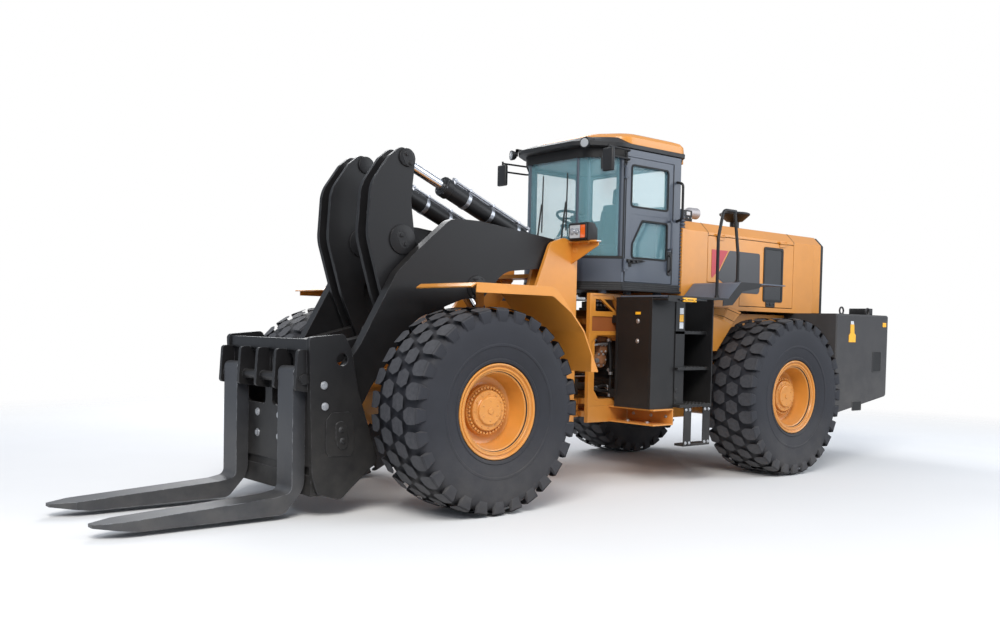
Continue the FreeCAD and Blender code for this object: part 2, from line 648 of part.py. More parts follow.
def tilt_barrel(y):
    return barrel_y(TILT_BASE, CRANK_TOP, y, TILT_BARREL_RADIUS, TILT_ROD_RADIUS + FIT, TILT_NECK,
                    TILT_BARREL_LENGTH)


def tilt_rod(y):
    return piston_rod_y(TILT_BASE, CRANK_TOP, y, TILT_ROD_RADIUS, 700, 80)


def lift_barrel(y):
    return barrel_y(LIFT_BASE, LIFT_EYE, y, LIFT_BARREL_RADIUS, LIFT_ROD_RADIUS + FIT,
                    EAR_RADIUS + GAP, LIFT_BARREL_LENGTH)


def lift_rod(y):
    return piston_rod_y(LIFT_BASE, LIFT_EYE, y, LIFT_ROD_RADIUS, 190, 85)


def steer_barrel(side):
    """Steering cylinder barrel between two ears on the rear frame."""
    base = (*STEER_BASE, STEER_Z)
    tip = (*STEER_EYE, STEER_Z)
    body = rod(along(base, tip, 62), along(base, tip, STEER_BARREL_LENGTH), STEER_BARREL_RADIUS)
    neck = rod(base, along(base, tip, 75), 28)
    eye = fuse(Part.makeCylinder(48, 60, V(base[0], base[1], STEER_Z - 30)), neck)
    bore = rod(along(base, tip, 110), along(base, tip, STEER_BARREL_LENGTH + 5), STEER_ROD_RADIUS + FIT)
    hole = Part.makeCylinder(STEER_PIN_RADIUS + FIT, 140, V(base[0], base[1], STEER_Z - 70))
    shape = fuse(body, eye).cut(bore).cut(hole)
    return shape if side > 0 else mirrored(shape)


def steer_rod(side):
    """Steering piston rod with a flat eye."""
    base = (*STEER_BASE, STEER_Z)
    tip = (*STEER_EYE, STEER_Z)
    shaft = rod(along(base, tip, 480), tip, STEER_ROD_RADIUS)
    shape = fuse(shaft, Part.makeCylinder(45, 60, V(tip[0], tip[1], STEER_Z - 30)))
    return shape if side > 0 else mirrored(shape)


# ---------------------------------------------------------------- carriage and forks
def carriage_side():
    """Left side plate of the carriage."""
    outline = [(3489, 1466, 40), (3170, 1496, 40), (3098, 1358), (3036, 1035, 150), (2832, 440, 60),
               (3189, 137, 60), (3400, 200, 60), (3447, 355, 100)]
    plate = plate_y(outline, CARRIAGE_HALF - CARRIAGE_SIDE, CARRIAGE_HALF)
    return plate.cut(pin_y(LINK_EYE, 52, CARRIAGE_HALF - CARRIAGE_SIDE - 5, CARRIAGE_HALF + 5))


def carriage():
    """Welded frame: side plates, back grid, ears for the boom, links and fork shaft."""
    half = CARRIAGE_HALF - CARRIAGE_SIDE
    parts = both_sides(carriage_side())
    back = [(-half - 5, 420), (half + 5, 420), (half + 5, 1440), (-half - 5, 1440)]
    grid = plate_x(back, FORK_BACK_X - FIT - 30, FORK_BACK_X - FIT)
    for y0, y1 in ((-430, -60), (60, 430)):
        grid = grid.cut(plate_x([(y0, 880, 40), (y1, 880, 40), (y1, 1330, 60), (y0, 1330, 60)], 3390, 3460))
    parts.append(grid)
    parts.append(box(3400, 3470, -half - 8, half + 8, 1355, 1450))
    parts.append(box(3340, 3425, -half - 8, half + 8, 340, 470))
    parts.append(box(3200, 3435, -half - 8, half + 8, 180, 345))
    for side in (-1, 1):
        for near in (TOWER_INNER_Y - TOWER_PLATE, TOWER_OUTER_Y - TOWER_PLATE):
            y0, y1 = sorted((side * near, side * (near + TOWER_PLATE)))
            parts.append(plate_y([(3190, 500), (3430, 415), (3430, 900), (3190, 780)], y0, y1))
            parts.append(pin_y(CARRIAGE_PIVOT, 150, y0, y1))
        y0, y1 = sorted((side * (TOWER_INNER_Y - TOWER_PLATE - 20), side * (CARRIAGE_HALF + 15)))
        parts.append(pin_y(CARRIAGE_PIVOT, BOOM_PIN_RADIUS, y0, y1))
        for near in (CRANK_Y - CRANK_SPACE / 2 - 35, CRANK_Y + CRANK_SPACE / 2):
            y0, y1 = sorted((side * near, side * (near + 35)))
            parts.append(plate_y([(3100, 1230, 40), (3130, 1380, 60), (3430, 1400), (3430, 1150)], y0, y1))
        parts.append(pin_y(LINK_EYE, CRANK_PIN_RADIUS, *across(side * CRANK_Y, CRANK_SPACE + 90)))
    for y in (-700, -330, 0, 330, 700):
        parts.append(plate_y([(3425, 1020), (3425, 1366), (3560, 1366, 30), (3580, 1040, 30)], *across(y, 40)))
    parts.append(pin_y(FORK_BAR, FORK_BAR_RADIUS, -740, 740))
    return fuse(*parts)


def fork(side):
    """Forged fork: a tapered blade, a rounded heel and a shank that hangs on the shaft."""
    tip_x, tip_z = FORK_TIP
    low, high = across(side * FORK_Y, FORK_WIDTH)
    outline = [(FORK_BACK_X, 240, 200), (FORK_BACK_X + 180, 42, 100), (tip_x - 300, 40), (tip_x, tip_z - 25),
               (tip_x, tip_z), (3700, 188, 60), (FORK_BACK_X + FORK_THICK, 215, 60),
               (FORK_BACK_X + FORK_THICK, FORK_TOP_Z, 50), (FORK_BACK_X, FORK_TOP_Z, 30)]
    blade = plate_y(outline, low, high)
    corner = 90.0
    for y, inward in ((low, 1), (high, -1)):
        cut = plate_z([(tip_x - 2 * corner, y), (tip_x + 5, y + inward * corner), (tip_x + 5, y)], -50, 400)
        blade = blade.cut(cut)
    return blade.cut(pin_y(FORK_BAR, FORK_BAR_RADIUS + FIT, low - 5, high + 5))


# ---------------------------------------------------------------- cab
def cab_plan(inset):
    """Floor outline of the cab, drawn in from its outer face."""
    rear, pillar, nose = CAB_REAR_X + inset, CAB_PILLAR_X - inset * 0.4, CAB_NOSE_X - inset
    half, nose_half = CAB_HALF - inset, CAB_NOSE_HALF - inset * 0.6
    return [(rear, -half), (pillar, -half), (nose, -nose_half, 120), (nose, nose_half, 120), (pillar, half),
            (rear, half)]


def cab_shell():
    """Welded cab: floor, lower walls, pillars and head frame, open at every window."""
    outer = plate_z(cab_plan(0), CAB_FLOOR_Z, CAB_HEAD_Z)
    hollow = plate_z(cab_plan(CAB_WALL), CAB_FLOOR_Z + 60, CAB_HEAD_Z - 60)
    shell = outer.cut(hollow)
    big = CAB_HALF + 50
    door = box(DOOR_REAR_X - FIT - 5, DOOR_FRONT_X + FIT + 5, CAB_HALF - CAB_WALL - 5, big,
               DOOR_BOTTOM_Z - 5, DOOR_TOP_Z + 5)
    front = box(CAB_PILLAR_X + 15, CAB_NOSE_X + 50, -big, big, CAB_SILL_Z, CAB_HEAD_Z - 90)
    right = box(CAB_REAR_X + 140, CAB_PILLAR_X - 90, -big, -CAB_HALF + CAB_WALL + 5, CAB_SILL_Z, CAB_HEAD_Z - 90)
    rear = box(CAB_REAR_X - 50, CAB_REAR_X + CAB_WALL + 5, -CAB_HALF + 120, CAB_HALF - 120,
               HOOD_TOP_Z + 40, CAB_HEAD_Z - 90)
    for opening in (door, front, right, rear):
        shell = shell.cut(opening)
    posts = []
    for side in (-1, 1):
        post = rod((CAB_NOSE_X - 25, side * (CAB_NOSE_HALF - 55), CAB_SILL_Z - 5),
                   (CAB_NOSE_X - 25, side * (CAB_NOSE_HALF - 55), CAB_HEAD_Z - 85), 18)
        posts.append(post)
    mounts = []
    for x in (-800, -330, 40):
        for side in (-1, 1):
            y = side * (REAR_PLATE_Y - REAR_PLATE / 2)
            mounts.append(Part.makeCylinder(45, 51, V(x, y, CAB_FLOOR_Z - 50 + FIT)))
    return fuse(shell, *posts, *mounts, *door_hinge_pins())


def door_hinge_pins():
    """The cab's half of the door hinges: a pin held by an ear above and below."""
    hx, hy = DOOR_HINGE
    pins = []
    for z in DOOR_HINGE_LEVELS:
        pins.append(Part.makeCylinder(8, 90 + 30, V(hx, hy, z - 15)))
        for z0 in (z - 20, z + 90 + FIT):
            pins.append(box(hx - 12, hx + 14, CAB_HALF - 5, hy + 14, z0, z0 + 20 - FIT))
    return pins


def ring_panel(z0, z1):
    """The wall layer of the cab that the glass fills, from z0 to z1."""
    outside = plate_z(cab_plan(CAB_WALL / 2 - GLASS / 2), z0, z1)
    return outside.cut(plate_z(cab_plan(CAB_WALL / 2 + GLASS / 2), z0 - 5, z1 + 5))


def cab_glass():
    """Windscreen, right side pane and rear pane."""
    z0, z1 = CAB_SILL_Z + FIT, CAB_HEAD_Z - 90 - FIT
    layer = ring_panel(z0, z1)
    screen = layer.common(box(CAB_PILLAR_X + 15 + FIT, CAB_NOSE_X + 50, -900, 900, z0, z1))
    for side in (-1, 1):
        post = rod((CAB_NOSE_X - 25, side * (CAB_NOSE_HALF - 55), z0 - 5),
                   (CAB_NOSE_X - 25, side * (CAB_NOSE_HALF - 55), z1 + 5), 18 + FIT)
        screen = screen.cut(post)
    y0 = CAB_HALF - CAB_WALL / 2 - GLASS / 2
    right = box(CAB_REAR_X + 140 + FIT, CAB_PILLAR_X - 90 - FIT, -y0 - GLASS, -y0, z0, z1)
    x0 = CAB_REAR_X + CAB_WALL / 2 - GLASS / 2
    rear = box(x0, x0 + GLASS, -CAB_HALF + 120 + FIT, CAB_HALF - 120 - FIT, HOOD_TOP_Z + 40 + FIT, z1)
    return [*screen.Solids, right, rear]


def cab_roof():
    """Roof slab that overhangs the cab, with a dark brow over the windscreen."""
    low = CAB_HEAD_Z + FIT
    plan = [(CAB_REAR_X - 90, -CAB_HALF - 10, 80), (CAB_PILLAR_X, -CAB_HALF - 10, 150),
            (CAB_NOSE_X + 110, -CAB_NOSE_HALF - 60, 160), (CAB_NOSE_X + 110, CAB_NOSE_HALF + 60, 160),
            (CAB_PILLAR_X, CAB_HALF + 10, 150), (CAB_REAR_X - 90, CAB_HALF + 10, 80)]
    brow = plate_z(plan, low, low + 60)
    slab_plan = [(CAB_REAR_X - 90, -CAB_HALF + 20, 80), (CAB_PILLAR_X + 60, -CAB_HALF + 20, 150),
                 (CAB_NOSE_X - 60, -CAB_NOSE_HALF, 120), (CAB_NOSE_X - 60, CAB_NOSE_HALF, 120),
                 (CAB_PILLAR_X + 60, CAB_HALF - 20, 150), (CAB_REAR_X - 90, CAB_HALF - 20, 80)]
    slab = plate_z(slab_plan, low + 60, ROOF_TOP_Z)
    return fuse(brow, slab)


def door_pane(levels, inset):
    """Rounded (x, z) outline of one of the door's panes, drawn in by a clearance."""
    x0, x1 = DOOR_REAR_X + DOOR_RAIL + inset, DOOR_FRONT_X - DOOR_RAIL - inset
    z0, z1 = levels[0] + inset, levels[1] - inset
    return [(x0, z0, 30), (x1, z0, 30), (x1, z1, 30), (x0, z1, 30)]


def cab_door():
    """Left door frame with its two panes' openings and its hinge knuckles."""
    y0 = CAB_HALF - CAB_WALL
    frame = box(DOOR_REAR_X, DOOR_FRONT_X, y0, CAB_HALF, DOOR_BOTTOM_Z, DOOR_TOP_Z)
    upper, lower = [plate_y(door_pane(levels, 0), y0 - 5, CAB_HALF + 5) for levels in DOOR_PANES]
    handle = pipe([(DOOR_REAR_X + 60, CAB_HALF - 2, 2450), (DOOR_REAR_X + 60, CAB_HALF + 45, 2450),
                   (DOOR_REAR_X + 60, CAB_HALF + 45, 2750), (DOOR_REAR_X + 60, CAB_HALF - 2, 2750)], 12, 20)
    knuckles = []
    hx, hy = DOOR_HINGE
    for z in DOOR_HINGE_LEVELS:
        barrel = Part.makeCylinder(16, 90, V(hx, hy, z))
        leaf = box(DOOR_FRONT_X - 40, hx, hy - 16, hy - 6, z, z + 90)
        foot = box(DOOR_FRONT_X - 40, DOOR_FRONT_X, CAB_HALF - 2, hy - 6, z, z + 90)
        pin_hole = Part.makeCylinder(8 + FIT, 100, V(hx, hy, z - 5))
        knuckles.append(fuse(barrel, leaf, foot).cut(pin_hole))
    return fuse(frame.cut(upper).cut(lower), handle, *knuckles)


def door_glass():
    """The two panes of the door."""
    y0 = CAB_HALF - CAB_WALL / 2 - GLASS / 2
    return [plate_y(door_pane(levels, FIT), y0, y0 + GLASS) for levels in DOOR_PANES]


def seat():
    """Driver's seat on its pedestal."""
    base = box(-700, -380, -180, 180, CAB_FLOOR_Z + 60 + FIT, 2350)
    cushion = box(-760, -260, -250, 250, 2350, 2480)
    back = plate_y([(-760, 2440), (-640, 2440), (-740, 3000, 50), (-860, 3000, 50)], -240, 240)
    head = plate_y([(-850, 2990), (-770, 2990), (-790, 3180, 30), (-870, 3180, 30)], -130, 130)
    return fuse(base, cushion, back, head)


def controls():
    """Steering column with its wheel, and the side console."""
    foot = box(-90, 50, -70, 70, CAB_FLOOR_Z + 60 + FIT, CAB_FLOOR_Z + 90)
    column = rod((-20, 0, CAB_FLOOR_Z + 75), (-90, 0, 2760), 45)
    wheel = Part.makeTorus(200, 16, V(-90, 0, 2770), V(-0.35, 0, 1))
    spoke = rod((-90 - 185, 0, 2706), (-90 + 185, 0, 2834), 14)
    console = box(-700, -200, -560, -330, CAB_FLOOR_Z + 60 + FIT, 2620)
    return [fuse(foot, column, wheel, spoke), console]


# ---------------------------------------------------------------- hood and engine
def hood_section(inset):
    """(y, z) outline of the hood with chamfered top edges."""
    half, top = HOOD_HALF - inset, HOOD_TOP_Z - inset
    cut = HOOD_CHAMFER - inset * 0.5
    return [(-half, HOOD_BOTTOM_Z), (half, HOOD_BOTTOM_Z), (half, top - cut, 20), (half - cut, top, 20),
            (-half + cut, top, 20), (-half, top - cut, 20)]


def hood():
    """Fixed hood shell, open underneath and at both side doors."""
    shell = plate_x(hood_section(0), HOOD_REAR_X, HOOD_FRONT_X)
    inside = plate_x([(y, z) for y, z, *_ in hood_section(HOOD_WALL)], HOOD_REAR_X + HOOD_WALL, HOOD_FRONT_X - HOOD_WALL)
    below = box(HOOD_REAR_X + HOOD_WALL, HOOD_FRONT_X - HOOD_WALL, -HOOD_HALF + HOOD_WALL, HOOD_HALF - HOOD_WALL,
                HOOD_BOTTOM_Z - 5, HOOD_BOTTOM_Z + 60)
    shell = shell.cut(inside).cut(below)
    doors = plate_y(hood_door_outline(0), -HOOD_HALF - 50, HOOD_HALF + 50)
    rear = box(HOOD_REAR_X - 50, HOOD_REAR_X + HOOD_WALL + 5, -560, 560, 1900, 2640)
    shell = shell.cut(doors).cut(rear)
    for piece in hood_hinge_pins():
        shell = fuse(shell, piece, mirrored(piece))
    return shell


def hood_hinge_pins():
    """The hood's half of the left door's hinges: pins held by an ear at each end."""
    y, z = HOOD_HINGE
    pieces = []
    for x in HOOD_HINGE_PLACES:
        pieces.append(rod((x - 15, y, z), (x + 135, y, z), 7))
        for x0 in (x - 20, x + 120 + FIT):
            pieces.append(box(x0, x0 + 20 - FIT, HOOD_HALF - 5, y + 12, z - 4, z + 20))
    return pieces


def hood_door_outline(inset):
    """Outline of a side door, stepped up where it passes over the fender."""
    x0, x1, step = HOOD_DOOR_REAR_X + inset, HOOD_DOOR_FRONT_X - inset, FENDER_REAR_X - 20
    z0, z1, z2 = HOOD_DOOR_BOTTOM_Z + inset, HOOD_DOOR_TOP_Z - inset, FENDER_TOP_Z + 20 + inset
    return [(x0, z0), (step - inset, z0), (step - inset, z2), (x1, z2), (x1, z1), (x0, z1)]


def hood_door(side):
    """Side panel of the hood, hinged along its top edge."""
    panel = plate_y(hood_door_outline(8), HOOD_HALF - HOOD_WALL, HOOD_HALF)
    grille = box(-2560, -2310, HOOD_HALF - HOOD_WALL - 5, HOOD_HALF + 5, 1990, 2600)
    panel = panel.cut(grille)
    slats = []
    for i in range(10):
        z = 2000 + i * 60
        slats.append(box(-2565, -2305, HOOD_HALF - HOOD_WALL, HOOD_HALF - 8, z, z + 14))
    knuckles = []
    y, z = HOOD_HINGE
    for x in HOOD_HINGE_PLACES:
        barrel = rod((x, y, z), (x + 120, y, z), 12)
        leaf = box(x, x + 120, HOOD_HALF - 2, y, z - 45, z - 8)
        knuckles.append(fuse(barrel, leaf).cut(rod((x - 5, y, z), (x + 125, y, z), 7 + FIT)))
    shape = fuse(panel, *slats, *knuckles)
    return shape if side > 0 else mirrored(shape)


def engine():
    """Engine as one heavy block on four mounts."""
    block = box(-2750, -1480, -330, 330, 1330, 2250)
    reach = REAR_PLATE_Y - REAR_PLATE - FIT
    mounts = [box(x, x + 100, -reach, reach, 1400, 1480) for x in (-2600, -1700)]
    return fuse(block, *mounts)


def radiator():
    """Cooling pack with its fan shroud behind the rear grille."""
    core = box(-3400, -3180, -600, 600, FRAME_TOP_Z + FIT, 2680)
    shroud = rod((-3180, 0, 2250), (-3020, 0, 2250), 380)
    return fuse(core, shroud)


def rear_grille():
    """Framed slats at the rear of the hood."""
    x0 = HOOD_REAR_X
    frame = box(x0, x0 + HOOD_WALL, -560 + FIT, 560 - FIT, 1900 + FIT, 2640 - FIT)
    frame = frame.cut(box(x0 - 5, x0 + HOOD_WALL + 5, -510, 510, 1950, 2590))
    slats = [box(x0 + 5, x0 + 25, -515, 515, z, z + 16) for z in range(1990, 2590, 50)]
    return fuse(frame, *slats)


def hood_top_parts():
    """Exhaust elbow, air cleaner cap and the condenser box, all on top of the hood."""
    top = HOOD_TOP_Z + FIT
    stack = pipe([(-1620, 260, top), (-1620, 260, 2960), (-1800, 260, 2960)], 65, 90)
    cap = fuse(rod((-1750, -250, top), (-1750, -250, 2920), 90), rod((-1750, -250, 2920), (-1750, -250, 2990), 150))
    condenser = box(-1330, -1040, -420, 420, top, 2960)
    return stack, cap, condenser


# ---------------------------------------------------------------- fenders, boxes and access
def rear_fender(side):
    """Deck over the boxes, riser and fender top beside the hood."""
    top, rear = FENDER_TOP_Z, FENDER_REAR_X
    run = [(BOX_FRONT_X, DECK_Z), (-1000, DECK_Z), (-1200, top, 80), (rear, top), (rear, top - 12),
           (-1206, top - 12, 92), (-1006, DECK_Z - 14), (BOX_FRONT_X, DECK_Z - 14)]
    sheet = plate_y(run, HOOD_HALF + 8, 1400)
    web = plate_y([(-1010, DECK_Z - 5), (-1206, top - 10, 80), (rear, top - 10), (rear, 1990), (-1300, 1900),
                   (-1010, HOOD_BOTTOM_Z + 20)], HOOD_HALF + 8, HOOD_HALF + 20)
    well = box(STEP_REAR_X + 14, BOX_REAR_X - 5, STAIR_BACK_Y + 20, 1410, DECK_Z - 30, DECK_Z + 10)
    shape = fuse(sheet, web).cut(well)
    return shape if side > 0 else mirrored(shape)


def side_box(side):
    """Closed storage and tank box with rounded corners, bolted to the frame."""
    body = box(BOX_REAR_X, BOX_FRONT_X, BOX_INNER_Y, BOX_OUTER_Y, BOX_BOTTOM_Z, DECK_Z - 14 - FIT)
    brackets = [box(BOX_REAR_X + 40, BOX_FRONT_X - 40, REAR_PLATE_Y + FIT, BOX_INNER_Y + 1, z, z + 80)
                for z in (880, 1650)]
    shape = fuse(body, *brackets)
    return shape if side > 0 else mirrored(shape)


def steps(side):
    """Stair well beside the box: back panel, side cheeks, treads and the hanging ladder."""
    x0, x1 = STEP_REAR_X, BOX_REAR_X - FIT
    back = box(x0, x1, STAIR_BACK_Y, STAIR_BACK_Y + 20, 800, DECK_Z - 14 - FIT)
    cheek = box(x0, x0 + 14, STAIR_BACK_Y, STEP_OUTER_Y, 800, DECK_Z - 14 - FIT)
    floor = box(x0, x1, STAIR_BACK_Y, STEP_OUTER_Y, 800, 830)
    treads = [box(x0, x1, STAIR_BACK_Y + 15, STEP_OUTER_Y - inset, z, z + 28)
              for z, inset in ((1180, 40), (1550, 80))]
    link_bar = box(x0 + 30, x1 - 30, REAR_PLATE_Y + FIT, 805, 1100, 1160)
    straps = [box(x, x + 110, STEP_OUTER_Y - 16, STEP_OUTER_Y - 4, 400, 830) for x in (-890, -590)]
    rung = box(-890, -480, STEP_OUTER_Y - 130, STEP_OUTER_Y - 4, 400, 424)
    shape = fuse(back, cheek, floor, *treads, link_bar, *straps, rung)
    return shape if side > 0 else mirrored(shape)


def handrail(side):
    """Two posts joined by a top rail at the outer edge of the deck."""
    base = DECK_Z + FIT
    front = pipe([(-930, 1300, base), (-930, 1300, 2560), (-1080, 1240, 2870), (-1290, 1240, 2870)], 17, 90)
    rear = pipe([(-1270, 1300, FENDER_TOP_Z + FIT), (-1270, 1300, 2400), (-1270, 1240, 2870)], 17, 300)
    shape = fuse(front, rear)
    return shape if side > 0 else mirrored(shape)


def mirror(side):
    """Mirror on an arm from the cab's front corner."""
    arm = pipe([(-77, CAB_HALF + FIT, 3400), (-77, CAB_HALF + 60, 3400), (60, CAB_HALF + 130, 3400),
                (60, CAB_HALF + 130, 3180)], 12, 30)
    head = box(45, 75, CAB_HALF + 50, CAB_HALF + 210, 2980, 3240)
    shape = fuse(arm, head)
    return shape if side > 0 else mirrored(shape)


def work_lights():
    """Four lamps under and on the roof brow."""
    lamps = []
    for y in (-520, 520):
        lamp = rod((CAB_NOSE_X + 20, y * 0.8, 3570), (CAB_NOSE_X + 90, y * 0.8, 3570), 50)
        foot = box(CAB_NOSE_X + 30, CAB_NOSE_X + 60, y * 0.8 - 15, y * 0.8 + 15, CAB_HEAD_Z + 60 + 2 * FIT, 3530)
        lamps.append(fuse(lamp, foot))
    return lamps


def half_shaft(x0, x1, z0, z1, radius):
    """A drive shaft with a yoke flange at each end."""
    tube = rod(along((x0, 0, z0), (x1, 0, z1), 30), along((x1, 0, z1), (x0, 0, z0), 30), radius)
    step = math.copysign(60, x1 - x0)
    ends = [rod((x0, 0, z0), (x0 + step, 0, z0), radius * 1.6),
            rod((x1 - step, 0, z1), (x1, 0, z1), radius * 1.6)]
    return fuse(tube, *ends)


def front_shaft():
    """Shaft to the front axle, with the universal joint's ball on the hinge axis."""
    shaft = half_shaft(120, AXLE_FRONT_X - 470 - FIT, SHAFT_Z, TYRE_RADIUS, SHAFT_RADIUS)
    neck = rod((0, 0, SHAFT_Z), (130, 0, SHAFT_Z), SHAFT_RADIUS - 5)
    ball = Part.makeSphere(JOINT_BALL_RADIUS, V(0, 0, SHAFT_Z))
    return fuse(shaft, neck, ball)


def joint_yoke():
    """Output shaft of the gearbox, ending in a yoke above and below the joint's ball."""
    shaft = rod((-570, 0, SHAFT_Z), (-130, 0, SHAFT_Z), SHAFT_RADIUS)
    high = JOINT_BALL_RADIUS + GAP
    back = box(-150, -120, -50, 50, SHAFT_Z - high - 24, SHAFT_Z + high + 24)
    ears = [box(-150, 40, -50, 50, z0, z0 + 24) for z0 in (SHAFT_Z - high - 24, SHAFT_Z + high)]
    return fuse(shaft, back, *ears)


# ---------------------------------------------------------------- export
def nodes():
    """Every node's name with its solids."""
    gear_case, converter = transmission()
    stack, cleaner, condenser = hood_top_parts()
    made = {
        "rear_frame": [rear_frame()],
        "hinge_pins": hinge_pins(),
        "rear_axle": [axle(AXLE_REAR_X, 1, True)],
        "transmission": [gear_case, converter],
        "engine": [engine()],
        "radiator": [radiator()],
        "rear_drive_shaft": [half_shaft(-1100 - FIT, AXLE_REAR_X + 470 + FIT, SHAFT_Z, TYRE_RADIUS, SHAFT_RADIUS)],
        "counterweight": [counterweight()],
        "hood": [hood()],
        "rear_grille": [rear_grille()],
        "exhaust": [stack],
        "air_cleaner": [cleaner, condenser],
        "rear_fenders": [rear_fender(1), rear_fender(-1)],
        "side_boxes": [side_box(1), side_box(-1)],
        "steps": [steps(1), steps(-1)],
        "handrails": [handrail(1), handrail(-1)],
        "cab_shell": [cab_shell()],
        "cab_roof": [cab_roof()],
        "cab_glass": cab_glass(),
        "seat": [seat()],
        "controls": controls(),
        "mirrors": [mirror(1), mirror(-1)],
        "work_lights": work_lights(),
        "cab_door": [cab_door()],
        "door_glass": door_glass(),
        "hood_door_left": [hood_door(1)],
        "hood_door_right": [hood_door(-1)],
        "front_frame": [front_frame()],
        "front_axle": [axle(AXLE_FRONT_X, -1, False)],
        "front_fenders": [front_fender(1), front_fender(-1)],
        "tower_core": [tower_core()],
        "headlights": [headlight(1), headlight(-1)],
        "front_drive_shaft": [front_shaft()],
        "boom": [boom()],
        "bell_cranks": [bell_crank(CRANK_Y), bell_crank(-CRANK_Y)],
        "links": [link(CRANK_Y), link(-CRANK_Y)],
        "tilt_pins": [tilt_pin(CRANK_Y), tilt_pin(-CRANK_Y)],
        "tilt_barrels": [tilt_barrel(CRANK_Y), tilt_barrel(-CRANK_Y)],
        "tilt_rods": [tilt_rod(CRANK_Y), tilt_rod(-CRANK_Y)],
        "lift_barrels": [lift_barrel(LIFT_Y), lift_barrel(-LIFT_Y)],
        "lift_rods": [lift_rod(LIFT_Y), lift_rod(-LIFT_Y)],
        "steer_barrel_left": [steer_barrel(1)],
        "steer_barrel_right": [steer_barrel(-1)],
        "steer_rod_left": [steer_rod(1)],
        "steer_rod_right": [steer_rod(-1)],
        "carriage": [carriage()],
        "forks": [fork(1), fork(-1)],
    }
    for end, x in (("front", AXLE_FRONT_X), ("rear", AXLE_REAR_X)):
        for hand, side in (("left", 1), ("right", -1)):
            made[f"tyre_{end}_{hand}"] = [tyre(x, side)]
            made[f"rim_{end}_{hand}"] = [rim(x, side)]
    return made


os.makedirs("parts", exist_ok=True)
for name, solids in nodes().items():
    shape = solids[0] if len(solids) == 1 else Part.makeCompound(solids)
    shape.translate(V(X_SHIFT, 0, 0))
    shape.exportStep(f"parts/{name}.step")
    print(name, len(shape.Solids), shape.isValid(), round(shape.Volume / 1e9, 4))
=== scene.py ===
"""Looks of an articulated block handler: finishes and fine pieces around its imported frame."""
import json
import logging
import math
from dataclasses import dataclass, field
from enum import Enum
from typing import Callable, Iterable, Optional, Sequence

import bmesh
import bpy
from mathutils import Matrix, Vector


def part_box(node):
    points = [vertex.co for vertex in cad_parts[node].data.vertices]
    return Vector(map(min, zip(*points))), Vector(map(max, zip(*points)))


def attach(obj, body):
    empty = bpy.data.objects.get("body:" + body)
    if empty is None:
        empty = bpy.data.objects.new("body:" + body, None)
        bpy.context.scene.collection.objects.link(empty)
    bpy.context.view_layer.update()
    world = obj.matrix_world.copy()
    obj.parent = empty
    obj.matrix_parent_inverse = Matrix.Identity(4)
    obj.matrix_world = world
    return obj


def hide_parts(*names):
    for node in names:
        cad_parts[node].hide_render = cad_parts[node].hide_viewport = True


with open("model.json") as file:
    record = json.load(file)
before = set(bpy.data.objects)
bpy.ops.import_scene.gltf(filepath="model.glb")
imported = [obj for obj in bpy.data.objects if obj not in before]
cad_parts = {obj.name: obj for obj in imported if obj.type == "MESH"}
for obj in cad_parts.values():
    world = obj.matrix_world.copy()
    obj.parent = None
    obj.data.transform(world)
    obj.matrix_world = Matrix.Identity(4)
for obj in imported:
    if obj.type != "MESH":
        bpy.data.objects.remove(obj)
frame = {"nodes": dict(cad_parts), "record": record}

LOG = logging.getLogger("block_handler")
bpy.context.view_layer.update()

Point = Sequence[float]
HINGE_X = -0.168             # the articulation hinge, along X in the row's frame
TYRE_RADIUS = 0.875
HALF_TRACK = 1.2
AXLES = {"front": 2.12, "rear": -2.12}
HANDS = {"left": 1, "right": -1}
FULL_TURN = 2 * math.pi
MERGE = 1e-5                 # vertices closer than this are one


def at(x: float, y: float, z: float) -> Vector:
    """Place given from the articulation hinge, in the row's frame."""
    return Vector((x + HINGE_X, y, z))


def lay(axis: str, level: float, pair: Sequence[float]) -> Vector:
    """Place in a plane across an axis.

    Args:
        axis: The axis that the plane is across.
        level: The plane's place along that axis.
        pair: Place in the plane, in the order of the axes that remain.

    Returns:
        The place in the row's frame.
    """
    place = list(pair)
    place.insert("xyz".index(axis), level)
    return at(*place)


def span(side: int, near: float, far: float) -> tuple[float, float]:
    """Lower and upper place along Y of a stretch on the left (1) or on the right (-1)."""
    low, high = sorted((side * near, side * far))
    return low, high


def around(count: int, radius: float, start: float = 0.0) -> list[tuple[float, float]]:
    """Even places on a circle, from an angle on."""
    return [(radius * math.cos(FULL_TURN * k / count + start), radius * math.sin(FULL_TURN * k / count + start))
            for k in range(count)]


def bead(thick: float, radius: float, steps: int) -> list[tuple[float, float]]:
    """Profile to turn into a ring with a round section."""
    section = [(rise, radius + out) for out, rise in around(steps, thick)]
    return section + section[:1]


